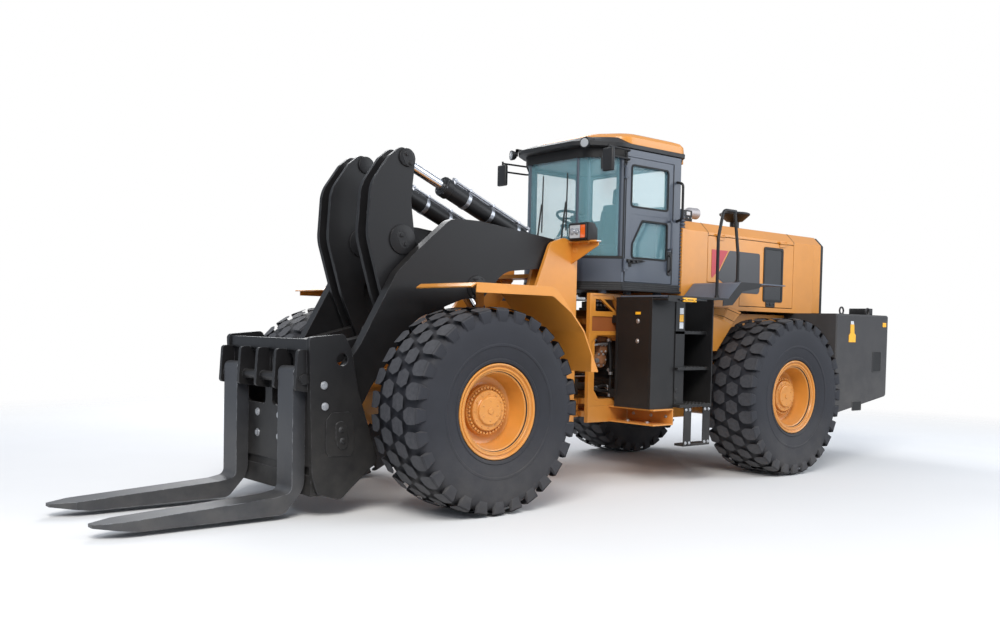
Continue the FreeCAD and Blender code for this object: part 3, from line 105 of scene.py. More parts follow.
# ---------------------------------------------------------------- shader groups
class NodeBench:
    """Adds and joins nodes in one node tree."""

    def __init__(self, tree: bpy.types.NodeTree) -> None:
        self.tree = tree

    def add(self, kind: str, **values: object) -> bpy.types.Node:
        """Adds a node.

        Args:
            kind: Node type name.
            values: Attributes of the node to set.

        Returns:
            The new node.
        """
        node = self.tree.nodes.new(kind)
        for key, value in values.items():
            setattr(node, key, value)
        return node

    def join(self, source: object, target: bpy.types.NodeSocket) -> None:
        """Links an output to an input, or sets the input to a plain value."""
        if isinstance(source, bpy.types.NodeSocket):
            self.tree.links.new(source, target)
        else:
            target.default_value = source

    def fill(self, node: bpy.types.Node, values: dict[str, object]) -> bpy.types.Node:
        """Feeds a node's inputs.

        Args:
            node: The node.
            values: Value or socket of each input, by the input's name.

        Returns:
            The node itself.
        """
        for name, value in values.items():
            self.join(value, node.inputs[name])
        return node

    def maths(self, operation: str, first: object, second: object = None, clamp: bool = False) -> bpy.types.NodeSocket:
        """Adds a Math node.

        Args:
            operation: Name of the operation.
            first: First value or socket.
            second: Second value or socket.
            clamp: Whether the result stays within 0 and 1.

        Returns:
            The result's socket.
        """
        node = self.add("ShaderNodeMath", operation=operation, use_clamp=clamp)
        for socket, value in zip(node.inputs, (first, second)):
            if value is not None:
                self.join(value, socket)
        return node.outputs[0]

    def noise(self, vector: bpy.types.NodeSocket, scale: object, detail: float = 3.0,
              rough: float = 0.55) -> bpy.types.NodeSocket:
        """Adds a noise and returns its value's socket.

        Args:
            vector: Place to read the noise at.
            scale: Scale, or the socket that gives it.
            detail: Octaves.
            rough: Weight of the finer octaves.

        Returns:
            The noise value's socket.
        """
        node = self.fill(self.add("ShaderNodeTexNoise"), {
            "Vector": vector, "Scale": scale, "Detail": detail, "Roughness": rough})
        return node.outputs["Fac"]

    def spread(self, value: bpy.types.NodeSocket, low: object, high: object, out_low: float = 0.0,
               out_high: float = 1.0) -> bpy.types.NodeSocket:
        """Maps a value's range to another, held at both ends.

        Args:
            value: Socket to map.
            low: Value or socket that gives out_low.
            high: Value or socket that gives out_high.
            out_low: Lower result.
            out_high: Upper result.

        Returns:
            The result's socket.
        """
        node = self.fill(self.add("ShaderNodeMapRange", clamp=True), {
            "Value": value, "From Min": low, "From Max": high, "To Min": out_low, "To Max": out_high})
        return node.outputs["Result"]

    def blend(self, share: bpy.types.NodeSocket, first: object, second: object) -> bpy.types.NodeSocket:
        """Mixes two colours.

        Args:
            share: Socket with the second colour's share.
            first: Colour or socket.
            second: Colour or socket.

        Returns:
            The mixed colour's socket.
        """
        node = self.add("ShaderNodeMix", data_type="RGBA")
        self.join(share, node.inputs["Factor"])
        for socket, value in ((node.inputs[6], first), (node.inputs[7], second)):
            self.join(value if isinstance(value, bpy.types.NodeSocket) else (*value, 1.0), socket)
        return node.outputs[2]


class ShaderGroups:
    """Shared effects, each built once as a node group."""

    _made: dict[str, bpy.types.ShaderNodeTree] = {}

    @classmethod
    def get(cls, name: str) -> bpy.types.ShaderNodeTree:
        """Returns the named group, built at first use."""
        if name not in cls._made:
            cls._made[name] = getattr(cls, "_" + name)()
        return cls._made[name]

    @staticmethod
    def _start(name: str, inputs: Iterable[tuple[str, str, float]],
               outputs: Iterable[tuple[str, str]]) -> tuple[bpy.types.ShaderNodeTree, NodeBench, dict, dict]:
        """Makes an empty group with its sockets.

        Args:
            name: Group name.
            inputs: Name, socket type and default of each input.
            outputs: Name and socket type of each output.

        Returns:
            The group, a bench for it, its inner input sockets and its inner output sockets.
        """
        tree = bpy.data.node_groups.new(name, "ShaderNodeTree")
        for label, kind, default in inputs:
            socket = tree.interface.new_socket(label, in_out="INPUT", socket_type=kind)
            if kind == "NodeSocketFloat":
                socket.default_value = default
        for label, kind in outputs:
            tree.interface.new_socket(label, in_out="OUTPUT", socket_type=kind)
        bench = NodeBench(tree)
        return tree, bench, bench.add("NodeGroupInput").outputs, bench.add("NodeGroupOutput").inputs

    @classmethod
    def _paint_grain(cls) -> bpy.types.ShaderNodeTree:
        """Cloudy tone and fine orange-peel height of a sprayed or cast surface."""
        tree, bench, inner, outer = cls._start(
            "paint_grain", [("Place", "NodeSocketVector", 0), ("Grain", "NodeSocketFloat", 60.0)],
            [("Tone", "NodeSocketFloat"), ("Height", "NodeSocketFloat")])
        clouds = bench.noise(inner["Place"], 1.7, 4.0, 0.6)
        streaks = bench.noise(inner["Place"], 9.0, 3.0, 0.5)
        tone = bench.maths("ADD", bench.maths("MULTIPLY", clouds, 0.65), bench.maths("MULTIPLY", streaks, 0.35))
        bench.join(bench.spread(tone, 0.3, 0.7), outer["Tone"])
        bench.join(bench.noise(inner["Place"], inner["Grain"], 2.0, 0.5), outer["Height"])
        return tree

    @classmethod
    def _edge_wear_and_highlight(cls) -> bpy.types.ShaderNodeTree:
        """Mask that is bright along edges, for worn paint and for a painted highlight on them, and the rounded normal.
        """
        tree, bench, inner, outer = cls._start(
            "edge_wear_and_highlight", [("Place", "NodeSocketVector", 0), ("Amount", "NodeSocketFloat", 0.4)],
            [("Mask", "NodeSocketFloat"), ("Rounded", "NodeSocketVector")])
        rounded = bench.add("ShaderNodeBevel", samples=4)
        rounded.inputs["Radius"].default_value = 0.006
        flat = bench.add("ShaderNodeNewGeometry")
        dot = bench.add("ShaderNodeVectorMath", operation="DOT_PRODUCT")
        bench.join(rounded.outputs["Normal"], dot.inputs[0])
        bench.join(flat.outputs["Normal"], dot.inputs[1])
        edge = bench.spread(dot.outputs["Value"], 0.995, 0.86)
        broken = bench.spread(bench.noise(inner["Place"], 14.0, 4.0, 0.7), 0.42, 0.62)
        mask = bench.maths("MULTIPLY", edge, broken)
        bench.join(bench.maths("MULTIPLY", mask, inner["Amount"], clamp=True), outer["Mask"])
        bench.join(rounded.outputs["Normal"], outer["Rounded"])
        return tree

    @classmethod
    def _site_dust(cls) -> bpy.types.ShaderNodeTree:
        """Mask of stone dust: on faces that look up, and thicker towards the ground."""
        tree, bench, inner, outer = cls._start(
            "site_dust", [("Place", "NodeSocketVector", 0), ("Facing", "NodeSocketVector", 0),
                          ("Amount", "NodeSocketFloat", 0.3), ("Reach", "NodeSocketFloat", 1.2)],
            [("Mask", "NodeSocketFloat")])
        place = bench.add("ShaderNodeSeparateXYZ")
        bench.join(inner["Place"], place.inputs[0])
        facing = bench.add("ShaderNodeSeparateXYZ")
        bench.join(inner["Facing"], facing.inputs[0])
        low = bench.spread(place.outputs["Z"], inner["Reach"], 0.0)
        up = bench.spread(facing.outputs["Z"], 0.4, 1.0, 0.0, 0.6)
        patch = bench.spread(bench.noise(inner["Place"], 3.2, 5.0, 0.65), 0.35, 0.7, 0.25, 1.0)
        total = bench.maths("ADD", low, up, clamp=True)
        bench.join(bench.maths("MULTIPLY", bench.maths("MULTIPLY", total, patch), inner["Amount"], clamp=True),
                   outer["Mask"])
        return tree


# ---------------------------------------------------------------- finishes
@dataclass(frozen=True)
class Surface:
    """A surface that builds its material once.

    The material's name ends in _finish, because the frame has materials of its own under the record's slot names.
    """

    name: str
    colour: tuple[float, float, float]

    def material(self) -> bpy.types.Material:
        """Returns the surface's material, built at first use."""
        label = f"{self.name}_finish"
        made = bpy.data.materials.get(label)
        if made is None:
            made = bpy.data.materials.new(label)
            made.use_nodes = True
            self.wire(NodeBench(made.node_tree), made.node_tree.nodes["Principled BSDF"])
        return made

    def wire(self, bench: NodeBench, shader: bpy.types.Node) -> None:
        """Builds the node tree.

        Args:
            bench: Bench of the material's tree.
            shader: The Principled BSDF.
        """
        raise NotImplementedError


@dataclass(frozen=True)
class Finish(Surface):
    """A painted, cast or moulded surface with grain, lighter edges that are partly worn paint and partly painted
    highlight, and dust.
    """

    rough: float = 0.45
    metallic: float = 0.0
    coat: float = 0.0
    tone: float = 0.12               # how much the colour varies
    grain: float = 60.0
    depth: float = 0.08
    # strength and colour of the lighter edges: partly worn paint, partly painted highlight
    wear_and_highlight: float = 0.35
    wear_and_highlight_colour: tuple[float, float, float] = (0.42, 0.41, 0.40)
    dust: float = 0.2
    dust_colour: tuple[float, float, float] = (0.36, 0.33, 0.29)
    reach: float = 1.3
    specular: float = 0.5

    def group(self, bench: NodeBench, name: str, **values: object) -> bpy.types.Node:
        """Places a shared group with its inputs set or linked.

        Args:
            bench: Bench of the material's tree.
            name: Group name.
            values: Input values or sockets by name.

        Returns:
            The group node.
        """
        return bench.fill(bench.add("ShaderNodeGroup", node_tree=ShaderGroups.get(name)), values)

    def base(self, bench: NodeBench, place: bpy.types.NodeSocket, tone: bpy.types.NodeSocket) -> bpy.types.NodeSocket:
        """Colour before the lighter edges and the dust.

        Args:
            bench: Bench of the material's tree.
            place: Object coordinates; not used here.
            tone: Cloudy value from 0 to 1.

        Returns:
            The colour's socket.
        """
        dark = tuple(c * (1 - self.tone) for c in self.colour)
        light = tuple(min(1.0, c * (1 + self.tone)) for c in self.colour)
        return bench.blend(tone, dark, light)

    def wire(self, bench: NodeBench, shader: bpy.types.Node) -> None:
        """Builds the node tree, as the base class says."""
        coordinates = bench.add("ShaderNodeTexCoord")
        place = coordinates.outputs["Object"]
        grain = self.group(bench, "paint_grain", Place=place, Grain=self.grain)
        wear_and_highlight = self.group(bench, "edge_wear_and_highlight", Place=place, Amount=self.wear_and_highlight)
        dust = self.group(bench, "site_dust", Place=place, Facing=coordinates.outputs["Normal"], Amount=self.dust,
                          Reach=self.reach)
        colour = self.base(bench, place, grain.outputs["Tone"])
        # lighter edges: partly worn paint, partly a painted highlight that brings out the forms
        colour = bench.blend(wear_and_highlight.outputs["Mask"], colour, self.wear_and_highlight_colour)
        colour = bench.blend(dust.outputs["Mask"], colour, self.dust_colour)
        rough = bench.spread(grain.outputs["Tone"], 0.0, 1.0, self.rough - 0.05, self.rough + 0.06)
        rough = bench.maths("ADD", rough, bench.maths("MULTIPLY", dust.outputs["Mask"], 0.35), clamp=True)
        bump = bench.fill(bench.add("ShaderNodeBump"), {
            "Strength": self.depth, "Distance": 0.004, "Height": grain.outputs["Height"],
            "Normal": wear_and_highlight.outputs["Rounded"]})
        bench.fill(shader, {
            "Base Color": colour, "Roughness": rough, "Normal": bump.outputs["Normal"], "Metallic": self.metallic,
            "Coat Weight": self.coat, "Coat Roughness": 0.12, "Specular IOR Level": self.specular})


@dataclass(frozen=True)
class TreadRubber(Finish):
    """Tyre rubber, with a painted highlight that makes the tips of the tread blocks paler."""

    # colour of the painted highlight on the tips of the blocks
    tip_highlight: tuple[float, float, float] = (0.060, 0.061, 0.068)

    def base(self, bench: NodeBench, place: bpy.types.NodeSocket, tone: bpy.types.NodeSocket) -> bpy.types.NodeSocket:
        """Rubber with a painted highlight that grows paler towards the tread's tips, about the wheel's own axle."""
        rubber = super().base(bench, place, tone)
        # painted highlight: the block tips are paler, broken by streaks
        attribute = bench.add("ShaderNodeAttribute", attribute_name="tip_highlight")
        streak = bench.spread(bench.noise(place, 26.0, 4.0, 0.7), 0.3, 0.7, 0.45, 1.0)
        share = bench.maths("MULTIPLY", attribute.outputs["Fac"], streak)
        return bench.blend(share, rubber, self.tip_highlight)


@dataclass(frozen=True)
class MeshScreen(Finish):
    """Perforated black sheet over an air intake."""

    pitch: float = 130.0

    def base(self, bench: NodeBench, place: bpy.types.NodeSocket, tone: bpy.types.NodeSocket) -> bpy.types.NodeSocket:
        """Sheet colour with dark holes in a close pattern."""
        sheet = super().base(bench, place, tone)
        holes = bench.fill(bench.add("ShaderNodeTexVoronoi"), {
            "Scale": self.pitch, "Randomness": 0.0, "Vector": place})
        return bench.blend(bench.spread(holes.outputs["Distance"], 0.28, 0.36, 1.0, 0.0), sheet, (0.004, 0.004, 0.004))


@dataclass(frozen=True)
class Glass(Surface):
    """Tinted safety glass."""

    rough: float = 0.02
    alpha: float = 0.38

    def wire(self, bench: NodeBench, shader: bpy.types.Node) -> None:
        """Builds the node tree, as the base class says."""
        place = bench.add("ShaderNodeTexCoord").outputs["Object"]
        smear = bench.noise(place, 0.9, 2.0, 0.4)
        tint = bench.blend(bench.spread(smear, 0.3, 0.7), tuple(c * 0.94 for c in self.colour), self.colour)
        bench.fill(shader, {
            "Base Color": tint, "Roughness": self.rough, "Alpha": self.alpha, "IOR": 1.5, "Specular IOR Level": 0.7})


class Finishes(Enum):
    """Every finish on the machine."""

    # the lighter edge colours below are partly worn paint and partly painted highlight
    ORANGE = Finish("orange_paint", (0.62, 0.245, 0.034), 0.36, coat=0.25, tone=0.07, grain=90, depth=0.05,
                    wear_and_highlight=0.34, wear_and_highlight_colour=(0.80, 0.52, 0.24), dust=0.18)
    CHARCOAL = Finish("charcoal_paint", (0.0095, 0.0092, 0.0100), 0.42, tone=0.20, grain=90, depth=0.06, wear_and_highlight=0.55,
                      wear_and_highlight_colour=(0.16, 0.165, 0.18), dust=0.10, specular=0.3)
    SLATE = Finish("slate_paint", (0.052, 0.064, 0.088), 0.40, coat=0.12, tone=0.10, grain=90, depth=0.05,
                   wear_and_highlight=0.08, wear_and_highlight_colour=(0.09, 0.10, 0.12), dust=0.04)
    BLACK = Finish("black_paint", (0.0085, 0.0083, 0.0090), 0.46, tone=0.18, grain=70, depth=0.08, wear_and_highlight=0.40,
                   wear_and_highlight_colour=(0.10, 0.10, 0.105), dust=0.12, specular=0.35)
    CAST_GREY = Finish("cast_grey", (0.030, 0.029, 0.031), 0.62, tone=0.26, grain=130, depth=0.28, wear_and_highlight=0.40,
                       wear_and_highlight_colour=(0.13, 0.128, 0.125), dust=0.20, reach=1.9)
    FORK_STEEL = Finish("fork_steel", (0.046, 0.048, 0.054), 0.42, metallic=0.35, tone=0.20, grain=55, depth=0.12,
                        wear_and_highlight=0.9, wear_and_highlight_colour=(0.50, 0.52, 0.56), dust=0.20, reach=0.9)
    RUBBER = TreadRubber("tyre_rubber", (0.020, 0.021, 0.027), 0.66, tone=0.22, grain=150, depth=0.25, wear_and_highlight=0.28,
                         wear_and_highlight_colour=(0.062, 0.064, 0.072), dust=0.16, reach=0.75, specular=0.35)
    PLASTIC = Finish("black_plastic", (0.0095, 0.0095, 0.0105), 0.52, tone=0.12, grain=220, depth=0.14, wear_and_highlight=0.2,
                     wear_and_highlight_colour=(0.08, 0.08, 0.085), dust=0.10)
    SEAL = Finish("window_seal", (0.006, 0.006, 0.0065), 0.7, tone=0.10, grain=200, depth=0.1, wear_and_highlight=0.0, dust=0.06)
    CHROME = Finish("plated_rod", (0.62, 0.63, 0.66), 0.14, metallic=1.0, tone=0.05, grain=240, depth=0.02,
                    wear_and_highlight=0.0, dust=0.08)
    PIPE = Finish("plated_pipe", (0.34, 0.35, 0.38), 0.32, metallic=0.85, tone=0.14, grain=120, depth=0.06,
                  wear_and_highlight=0.1, dust=0.15)
    DULL_STEEL = Finish("dull_steel", (0.42, 0.40, 0.41), 0.50, metallic=0.55, tone=0.14, grain=120, depth=0.10,
                        wear_and_highlight=0.2, dust=0.15)
    BOLT = Finish("zinc_bolt", (0.50, 0.51, 0.53), 0.34, metallic=0.8, tone=0.14, grain=150, depth=0.12, wear_and_highlight=0.2,
                  dust=0.15)
    IRON = Finish("bare_iron", (0.060, 0.047, 0.038), 0.60, metallic=0.2, tone=0.26, grain=110, depth=0.25, wear_and_highlight=0.3,
                  wear_and_highlight_colour=(0.22, 0.18, 0.15), dust=0.24)
    RUST = Finish("oiled_casting", (0.20, 0.085, 0.036), 0.55, metallic=0.1, tone=0.30, grain=120, depth=0.25, wear_and_highlight=0.4,
                  wear_and_highlight_colour=(0.34, 0.20, 0.12), dust=0.16)
    # darker orange that paints the shade in the closed recess
    SHADE_ORANGE = Finish("shaded_orange", (0.30, 0.088, 0.022), 0.50, tone=0.14, grain=90, depth=0.06, wear_and_highlight=0.2,
                    wear_and_highlight_colour=(0.50, 0.20, 0.08), dust=0.12)
    FABRIC = Finish("seat_cloth", (0.045, 0.047, 0.054), 0.85, tone=0.20, grain=320, depth=0.35, wear_and_highlight=0.0, dust=0.12)
    SCREEN = MeshScreen("intake_screen", (0.030, 0.031, 0.034), 0.5, tone=0.1, grain=100, depth=0.05, wear_and_highlight=0.1)
    DECAL_BLACK = Finish("black_panel", (0.038, 0.038, 0.042), 0.34, tone=0.10, grain=90, depth=0.03, wear_and_highlight=0.0,
                         dust=0.10)
    DECAL_RED = Finish("red_panel", (0.50, 0.035, 0.050), 0.36, tone=0.08, grain=90, depth=0.03, wear_and_highlight=0.0, dust=0.10)
    AMBER = Finish("amber_plate", (0.85, 0.42, 0.02), 0.38, tone=0.08, grain=120, depth=0.04, wear_and_highlight=0.0, dust=0.12)
    WHITE = Finish("blank_plate", (0.60, 0.61, 0.63), 0.45, tone=0.06, grain=120, depth=0.03, wear_and_highlight=0.1, dust=0.12)
    LENS = Glass("lamp_lens", (0.80, 0.84, 0.88), 0.05, 0.42)
    SIGNAL = Glass("signal_lens", (0.90, 0.16, 0.02), 0.10, 0.94)
    RED_LENS = Glass("red_lens", (0.55, 0.02, 0.02), 0.08, 0.92)
    GLAZING = Glass("cab_glazing", (0.30, 0.60, 0.68), 0.02, 0.20)
    DECK = Finish("deck_paint", (0.085, 0.105, 0.140), 0.42, tone=0.12, grain=120, depth=0.10, wear_and_highlight=0.4,
                  wear_and_highlight_colour=(0.24, 0.27, 0.31), dust=0.16)


# ---------------------------------------------------------------- modelling
def rounded(corners: Sequence[Sequence[float]], closed: bool = True, steps: int = 6) -> list[tuple[float, float]]:
    """Rounds the corners of an outline.

    Args:
        corners: Place and radius of each corner.
        closed: Whether the last corner leads back to the first.
        steps: Segments of each arc.

    Returns:
        Places along the outline.
    """
    spots = [Vector(corner[:2]) for corner in corners]
    walk: list[tuple[float, float]] = []
    for k, (x, y, radius) in enumerate(corners):
        if radius <= 0 or (not closed and k in (0, len(corners) - 1)):
            walk.append((x, y))
            continue
        back = (spots[k - 1] - spots[k]).normalized()
        ahead = (spots[(k + 1) % len(spots)] - spots[k]).normalized()
        half = back.angle(ahead) / 2
        middle = spots[k] + (back + ahead).normalized() * (radius / math.sin(half))
        first = spots[k] + back * (radius / math.tan(half)) - middle
        last = spots[k] + ahead * (radius / math.tan(half)) - middle
        start = math.atan2(first.y, first.x)
        sweep = (math.atan2(last.y, last.x) - start + math.pi) % FULL_TURN - math.pi
        for step in range(steps + 1):
            angle = start + sweep * step / steps
            walk.append((middle.x + radius * math.cos(angle), middle.y + radius * math.sin(angle)))
    return walk


def both_sides(left: list[tuple[float, float, float]]) -> list[tuple[float, float, float]]:
    """Corners and radii of a left half's outline, followed by those of its mirror image on the right."""
    return left + [(x, -y, radius) for x, y, radius in reversed(left)]


def frame_ring(x0: float, x1: float, z0: float, z1: float, grow: float, radius: float,
               steps: int = 6) -> list[tuple[float, float]]:
    """Rectangle with rounded corners, let out by an amount.

    Args:
        x0: Lower place along the first axis.
        x1: Upper place along the first axis.
        z0: Lower place along the second axis.
        z1: Upper place along the second axis.
        grow: How far it is let out.
        radius: Radius of the corners.
        steps: Segments of each corner.

    Returns:
        Places along the outline.
    """
    return rounded([(x0 - grow, z0 - grow, radius), (x1 + grow, z0 - grow, radius), (x1 + grow, z1 + grow, radius),
                    (x0 - grow, z1 + grow, radius)], steps=steps)


class Shape:
    """A mesh in the making, in metres from the articulation hinge."""

    def __init__(self) -> None:
        self.bm = bmesh.new()

    def block(self, low: Point, high: Point) -> "Shape":
        """Adds a block between two corners.

        Args:
            low: Lowest corner.
            high: Highest corner.

        Returns:
            The shape itself.
        """
        a, b = at(*low), at(*high)
        size = Matrix.Diagonal((*(b - a), 1.0))
        bmesh.ops.create_cube(self.bm, size=1.0, matrix=Matrix.Translation((a + b) / 2) @ size)
        return self

    def bar(self, start: Point, end: Point, radius: float, sides: int = 24,
            end_radius: Optional[float] = None) -> "Shape":
        """Adds a round bar or a cone between two places.

        Args:
            start: Middle of the first end.
            end: Middle of the other end.
            radius: Radius at the first end.
            sides: Number of sides.
            end_radius: Radius at the other end, if it differs.

        Returns:
            The shape itself.
        """
        a, b = at(*start), at(*end)
        turn = (b - a).to_track_quat("Z", "Y").to_matrix().to_4x4()
        bmesh.ops.create_cone(self.bm, cap_ends=True, segments=sides, radius1=radius,
                              radius2=radius if end_radius is None else end_radius, depth=(b - a).length,
                              matrix=Matrix.Translation((a + b) / 2) @ turn)
        return self

    def plate(self, outline: Iterable[Sequence[float]], axis: str, low: float, high: float) -> "Shape":
        """Adds a flat plate from its outline.

        Args:
            outline: Corner places in the plate's plane, in the order of the axes that remain.
            axis: The axis that the plate is thick along.
            low: Lower face along that axis.
            high: Upper face along that axis.

        Returns:
            The shape itself.
        """
        corners = [self.bm.verts.new(lay(axis, low, pair)) for pair in outline]
        face = self.bm.faces.new(corners)
        grown = bmesh.ops.extrude_face_region(self.bm, geom=[face])["geom"]
        step = Vector([(high - low) if letter == axis else 0.0 for letter in "xyz"])
        bmesh.ops.translate(self.bm, vec=step, verts=[v for v in grown if isinstance(v, bmesh.types.BMVert)])
        return self

    def skin(self, loops: Sequence[Sequence[bmesh.types.BMVert]], capped: bool = False) -> "Shape":
        """Adds the four-sided faces between closed loops that have as many vertices.

        Args:
            loops: The loops in order, from below if they are capped.
            capped: Whether the first and the last loop are closed with a face.

        Returns:
            The shape itself.
        """
        for first, second in zip(loops, loops[1:]):
            for corners in zip(first, first[1:] + first[:1], second[1:] + second[:1], second):
                self.bm.faces.new(corners)
        if capped:
            self.bm.faces.new(list(reversed(loops[0])))
            self.bm.faces.new(loops[-1])
        return self

    def ring(self, outer: Sequence[Sequence[float]], inner: Sequence[Sequence[float]], axis: str, low: float,
             high: float) -> "Shape":
        """Adds a flat frame between two outlines that have as many points.

        Args:
            outer: Outer outline, in the order of the axes that remain.
            inner: Inner outline.
            axis: The axis that the frame is thick along.
            low: Lower face along that axis.
            high: Upper face along that axis.

        Returns:
            The shape itself.
        """
        loops = [[self.bm.verts.new(lay(axis, level, pair)) for pair in outline]
                 for outline, level in ((outer, low), (inner, low), (inner, high), (outer, high))]
        return self.skin(loops + loops[:1])

    def loft(self, levels: Sequence[tuple[float, Sequence[Sequence[float]]]]) -> "Shape":
        """Adds a closed solid through flat outlines that have as many points.

        Args:
            levels: Height and outline of each section, from below.

        Returns:
            The shape itself.
        """
        return self.skin([[self.bm.verts.new(at(x, y, z)) for x, y in outline] for z, outline in levels], capped=True)

    def slab(self, corners: Sequence[Point], thick: float) -> "Shape":
        """Adds a thin four-sided slab that hangs below its corners.

        Args:
            corners: The upper corners in order.
            thick: Thickness.

        Returns:
            The shape itself.
        """
        return self.skin([[self.bm.verts.new(at(x, y, z - drop)) for x, y, z in corners] for drop in (thick, 0.0)],
                         capped=True)

    def turned(self, profile: Iterable[tuple[float, float]], centre: Point, axis: Point, steps: int) -> "Shape":
        """Adds a turned solid.

        Args:
            profile: Distance along the axis and radius of each point; a radius of 0 closes on the axis.
            centre: Middle that distances are taken from.
            axis: Direction of the axis.
            steps: Number of steps round.

        Returns:
            The shape itself.
        """
        along = Vector(axis).normalized()
        out = along.orthogonal().normalized()
        base = at(*centre)
        verts = [self.bm.verts.new(base + along * a + out * r) for a, r in profile]
        edges = [self.bm.edges.new(pair) for pair in zip(verts, verts[1:])]
        bmesh.ops.spin(self.bm, geom=verts + edges, cent=base, axis=along, angle=FULL_TURN, steps=steps,
                       use_merge=True, use_duplicate=False)
        return self

    def bolts(self, places: Iterable[Point], axis: Point, radius: float, height: float) -> "Shape":
        """Adds hexagon heads on washers.

        Args:
            places: Seat of each bolt.
            axis: Direction that the heads point.
            radius: Radius of a head.
            height: Height of a head.

        Returns:
            The shape itself.
        """
        up = Vector(axis).normalized()
        for place in places:
            seat = Vector(place)
            self.bar(seat - up * 0.004, seat + up * height * 0.3, radius * 1.35, 16)
            self.bar(seat, seat + up * height, radius, 6)
        return self

    def tube(self, points: Sequence[Point], radius: float, bend: float = 0.05, sides: int = 5) -> "Shape":
        """Adds a bent tube.

        Args:
            points: Corners of the tube's run.
            radius: Outer radius.
            bend: How far from each corner its bend starts.
            sides: Resolution of the section.

        Returns:
            The shape itself.
        """
        corners = [at(*p) for p in points]
        run = [corners[0]]
        for before, corner, after in zip(corners, corners[1:], corners[2:]):
            reach = min(bend, (before - corner).length * 0.45, (after - corner).length * 0.45)
            first = corner + (before - corner).normalized() * reach
            last = corner + (after - corner).normalized() * reach
            for k in range(7):
                t = k / 6
                run.append(first * (1 - t) ** 2 + corner * 2 * t * (1 - t) + last * t ** 2)
        run.append(corners[-1])
        data = bpy.data.curves.new("tube_run", "CURVE")
        data.dimensions = "3D"
        data.bevel_depth = radius
        data.bevel_resolution = sides
        data.use_fill_caps = True
        spline = data.splines.new("POLY")
        spline.points.add(len(run) - 1)
        for point, place in zip(spline.points, run):
            point.co = (*place, 1.0)
        holder = bpy.data.objects.new("tube_run", data)
        bpy.context.scene.collection.objects.link(holder)
        bpy.context.view_layer.update()
        mesh = bpy.data.meshes.new_from_object(holder)
        self.bm.from_mesh(mesh)
        bpy.data.objects.remove(holder)
        bpy.data.meshes.remove(mesh)
        return self

    def mirror_y(self) -> "Shape":
        """Adds the same shape on the machine's other side."""
        geom = self.bm.verts[:] + self.bm.edges[:] + self.bm.faces[:]
        copied = bmesh.ops.duplicate(self.bm, geom=geom)["geom"]
        verts = [v for v in copied if isinstance(v, bmesh.types.BMVert)]
        faces = [f for f in copied if isinstance(f, bmesh.types.BMFace)]
        bmesh.ops.scale(self.bm, vec=(1, -1, 1), verts=verts)
        bmesh.ops.reverse_faces(self.bm, faces=faces)
        return self

    def soften(self, width: float, segments: int = 2, angle: float = 32.0) -> "Shape":
        """Bevels the edges that are sharper than an angle.

        Args:
            width: Width of the bevel.
            segments: Segments across it.
            angle: Least angle in degrees.

        Returns:
            The shape itself.
        """
        bmesh.ops.remove_doubles(self.bm, verts=self.bm.verts, dist=MERGE)
        bmesh.ops.recalc_face_normals(self.bm, faces=self.bm.faces)
        least = math.radians(angle)
        edges = [e for e in self.bm.edges if len(e.link_faces) == 2 and e.calc_face_angle(0.0) > least]
        bmesh.ops.bevel(self.bm, geom=edges, offset=width, offset_type="OFFSET", segments=segments, profile=0.5,
                        affect="EDGES", clamp_overlap=True, material=-1)
        return self

    def object(self, name: str, body: str, finish: Finishes, slot: str, smooth: float = 35.0,
               stands_for: Sequence[str] = ()) -> bpy.types.Object:
        """Makes the finished piece.

        Args:
            name: Piece name.
            body: Body that it rides on.
            finish: Its finish.
            slot: Material slot of the record; not used.
            smooth: Angle in degrees under which edges shade smooth.
            stands_for: CAD nodes that it replaces.

        Returns:
            The piece's object.
        """
        bmesh.ops.remove_doubles(self.bm, verts=self.bm.verts, dist=MERGE)
        bmesh.ops.recalc_face_normals(self.bm, faces=self.bm.faces)
        for face in self.bm.faces:
            face.smooth = True
        for edge in self.bm.edges:
            edge.smooth = len(edge.link_faces) == 2 and edge.calc_face_angle(0.0) < math.radians(smooth)
        mesh = bpy.data.meshes.new(name)
        self.bm.to_mesh(mesh)
        self.bm.free()
        piece = bpy.data.objects.new(name, mesh)
        bpy.context.scene.collection.objects.link(piece)
        mesh.materials.append(finish.value.material())
        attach(piece, body)
        if stands_for:
            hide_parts(*stands_for)
        LOG.info("piece %s on %s: %d faces", name, body, len(mesh.polygons))
        return piece


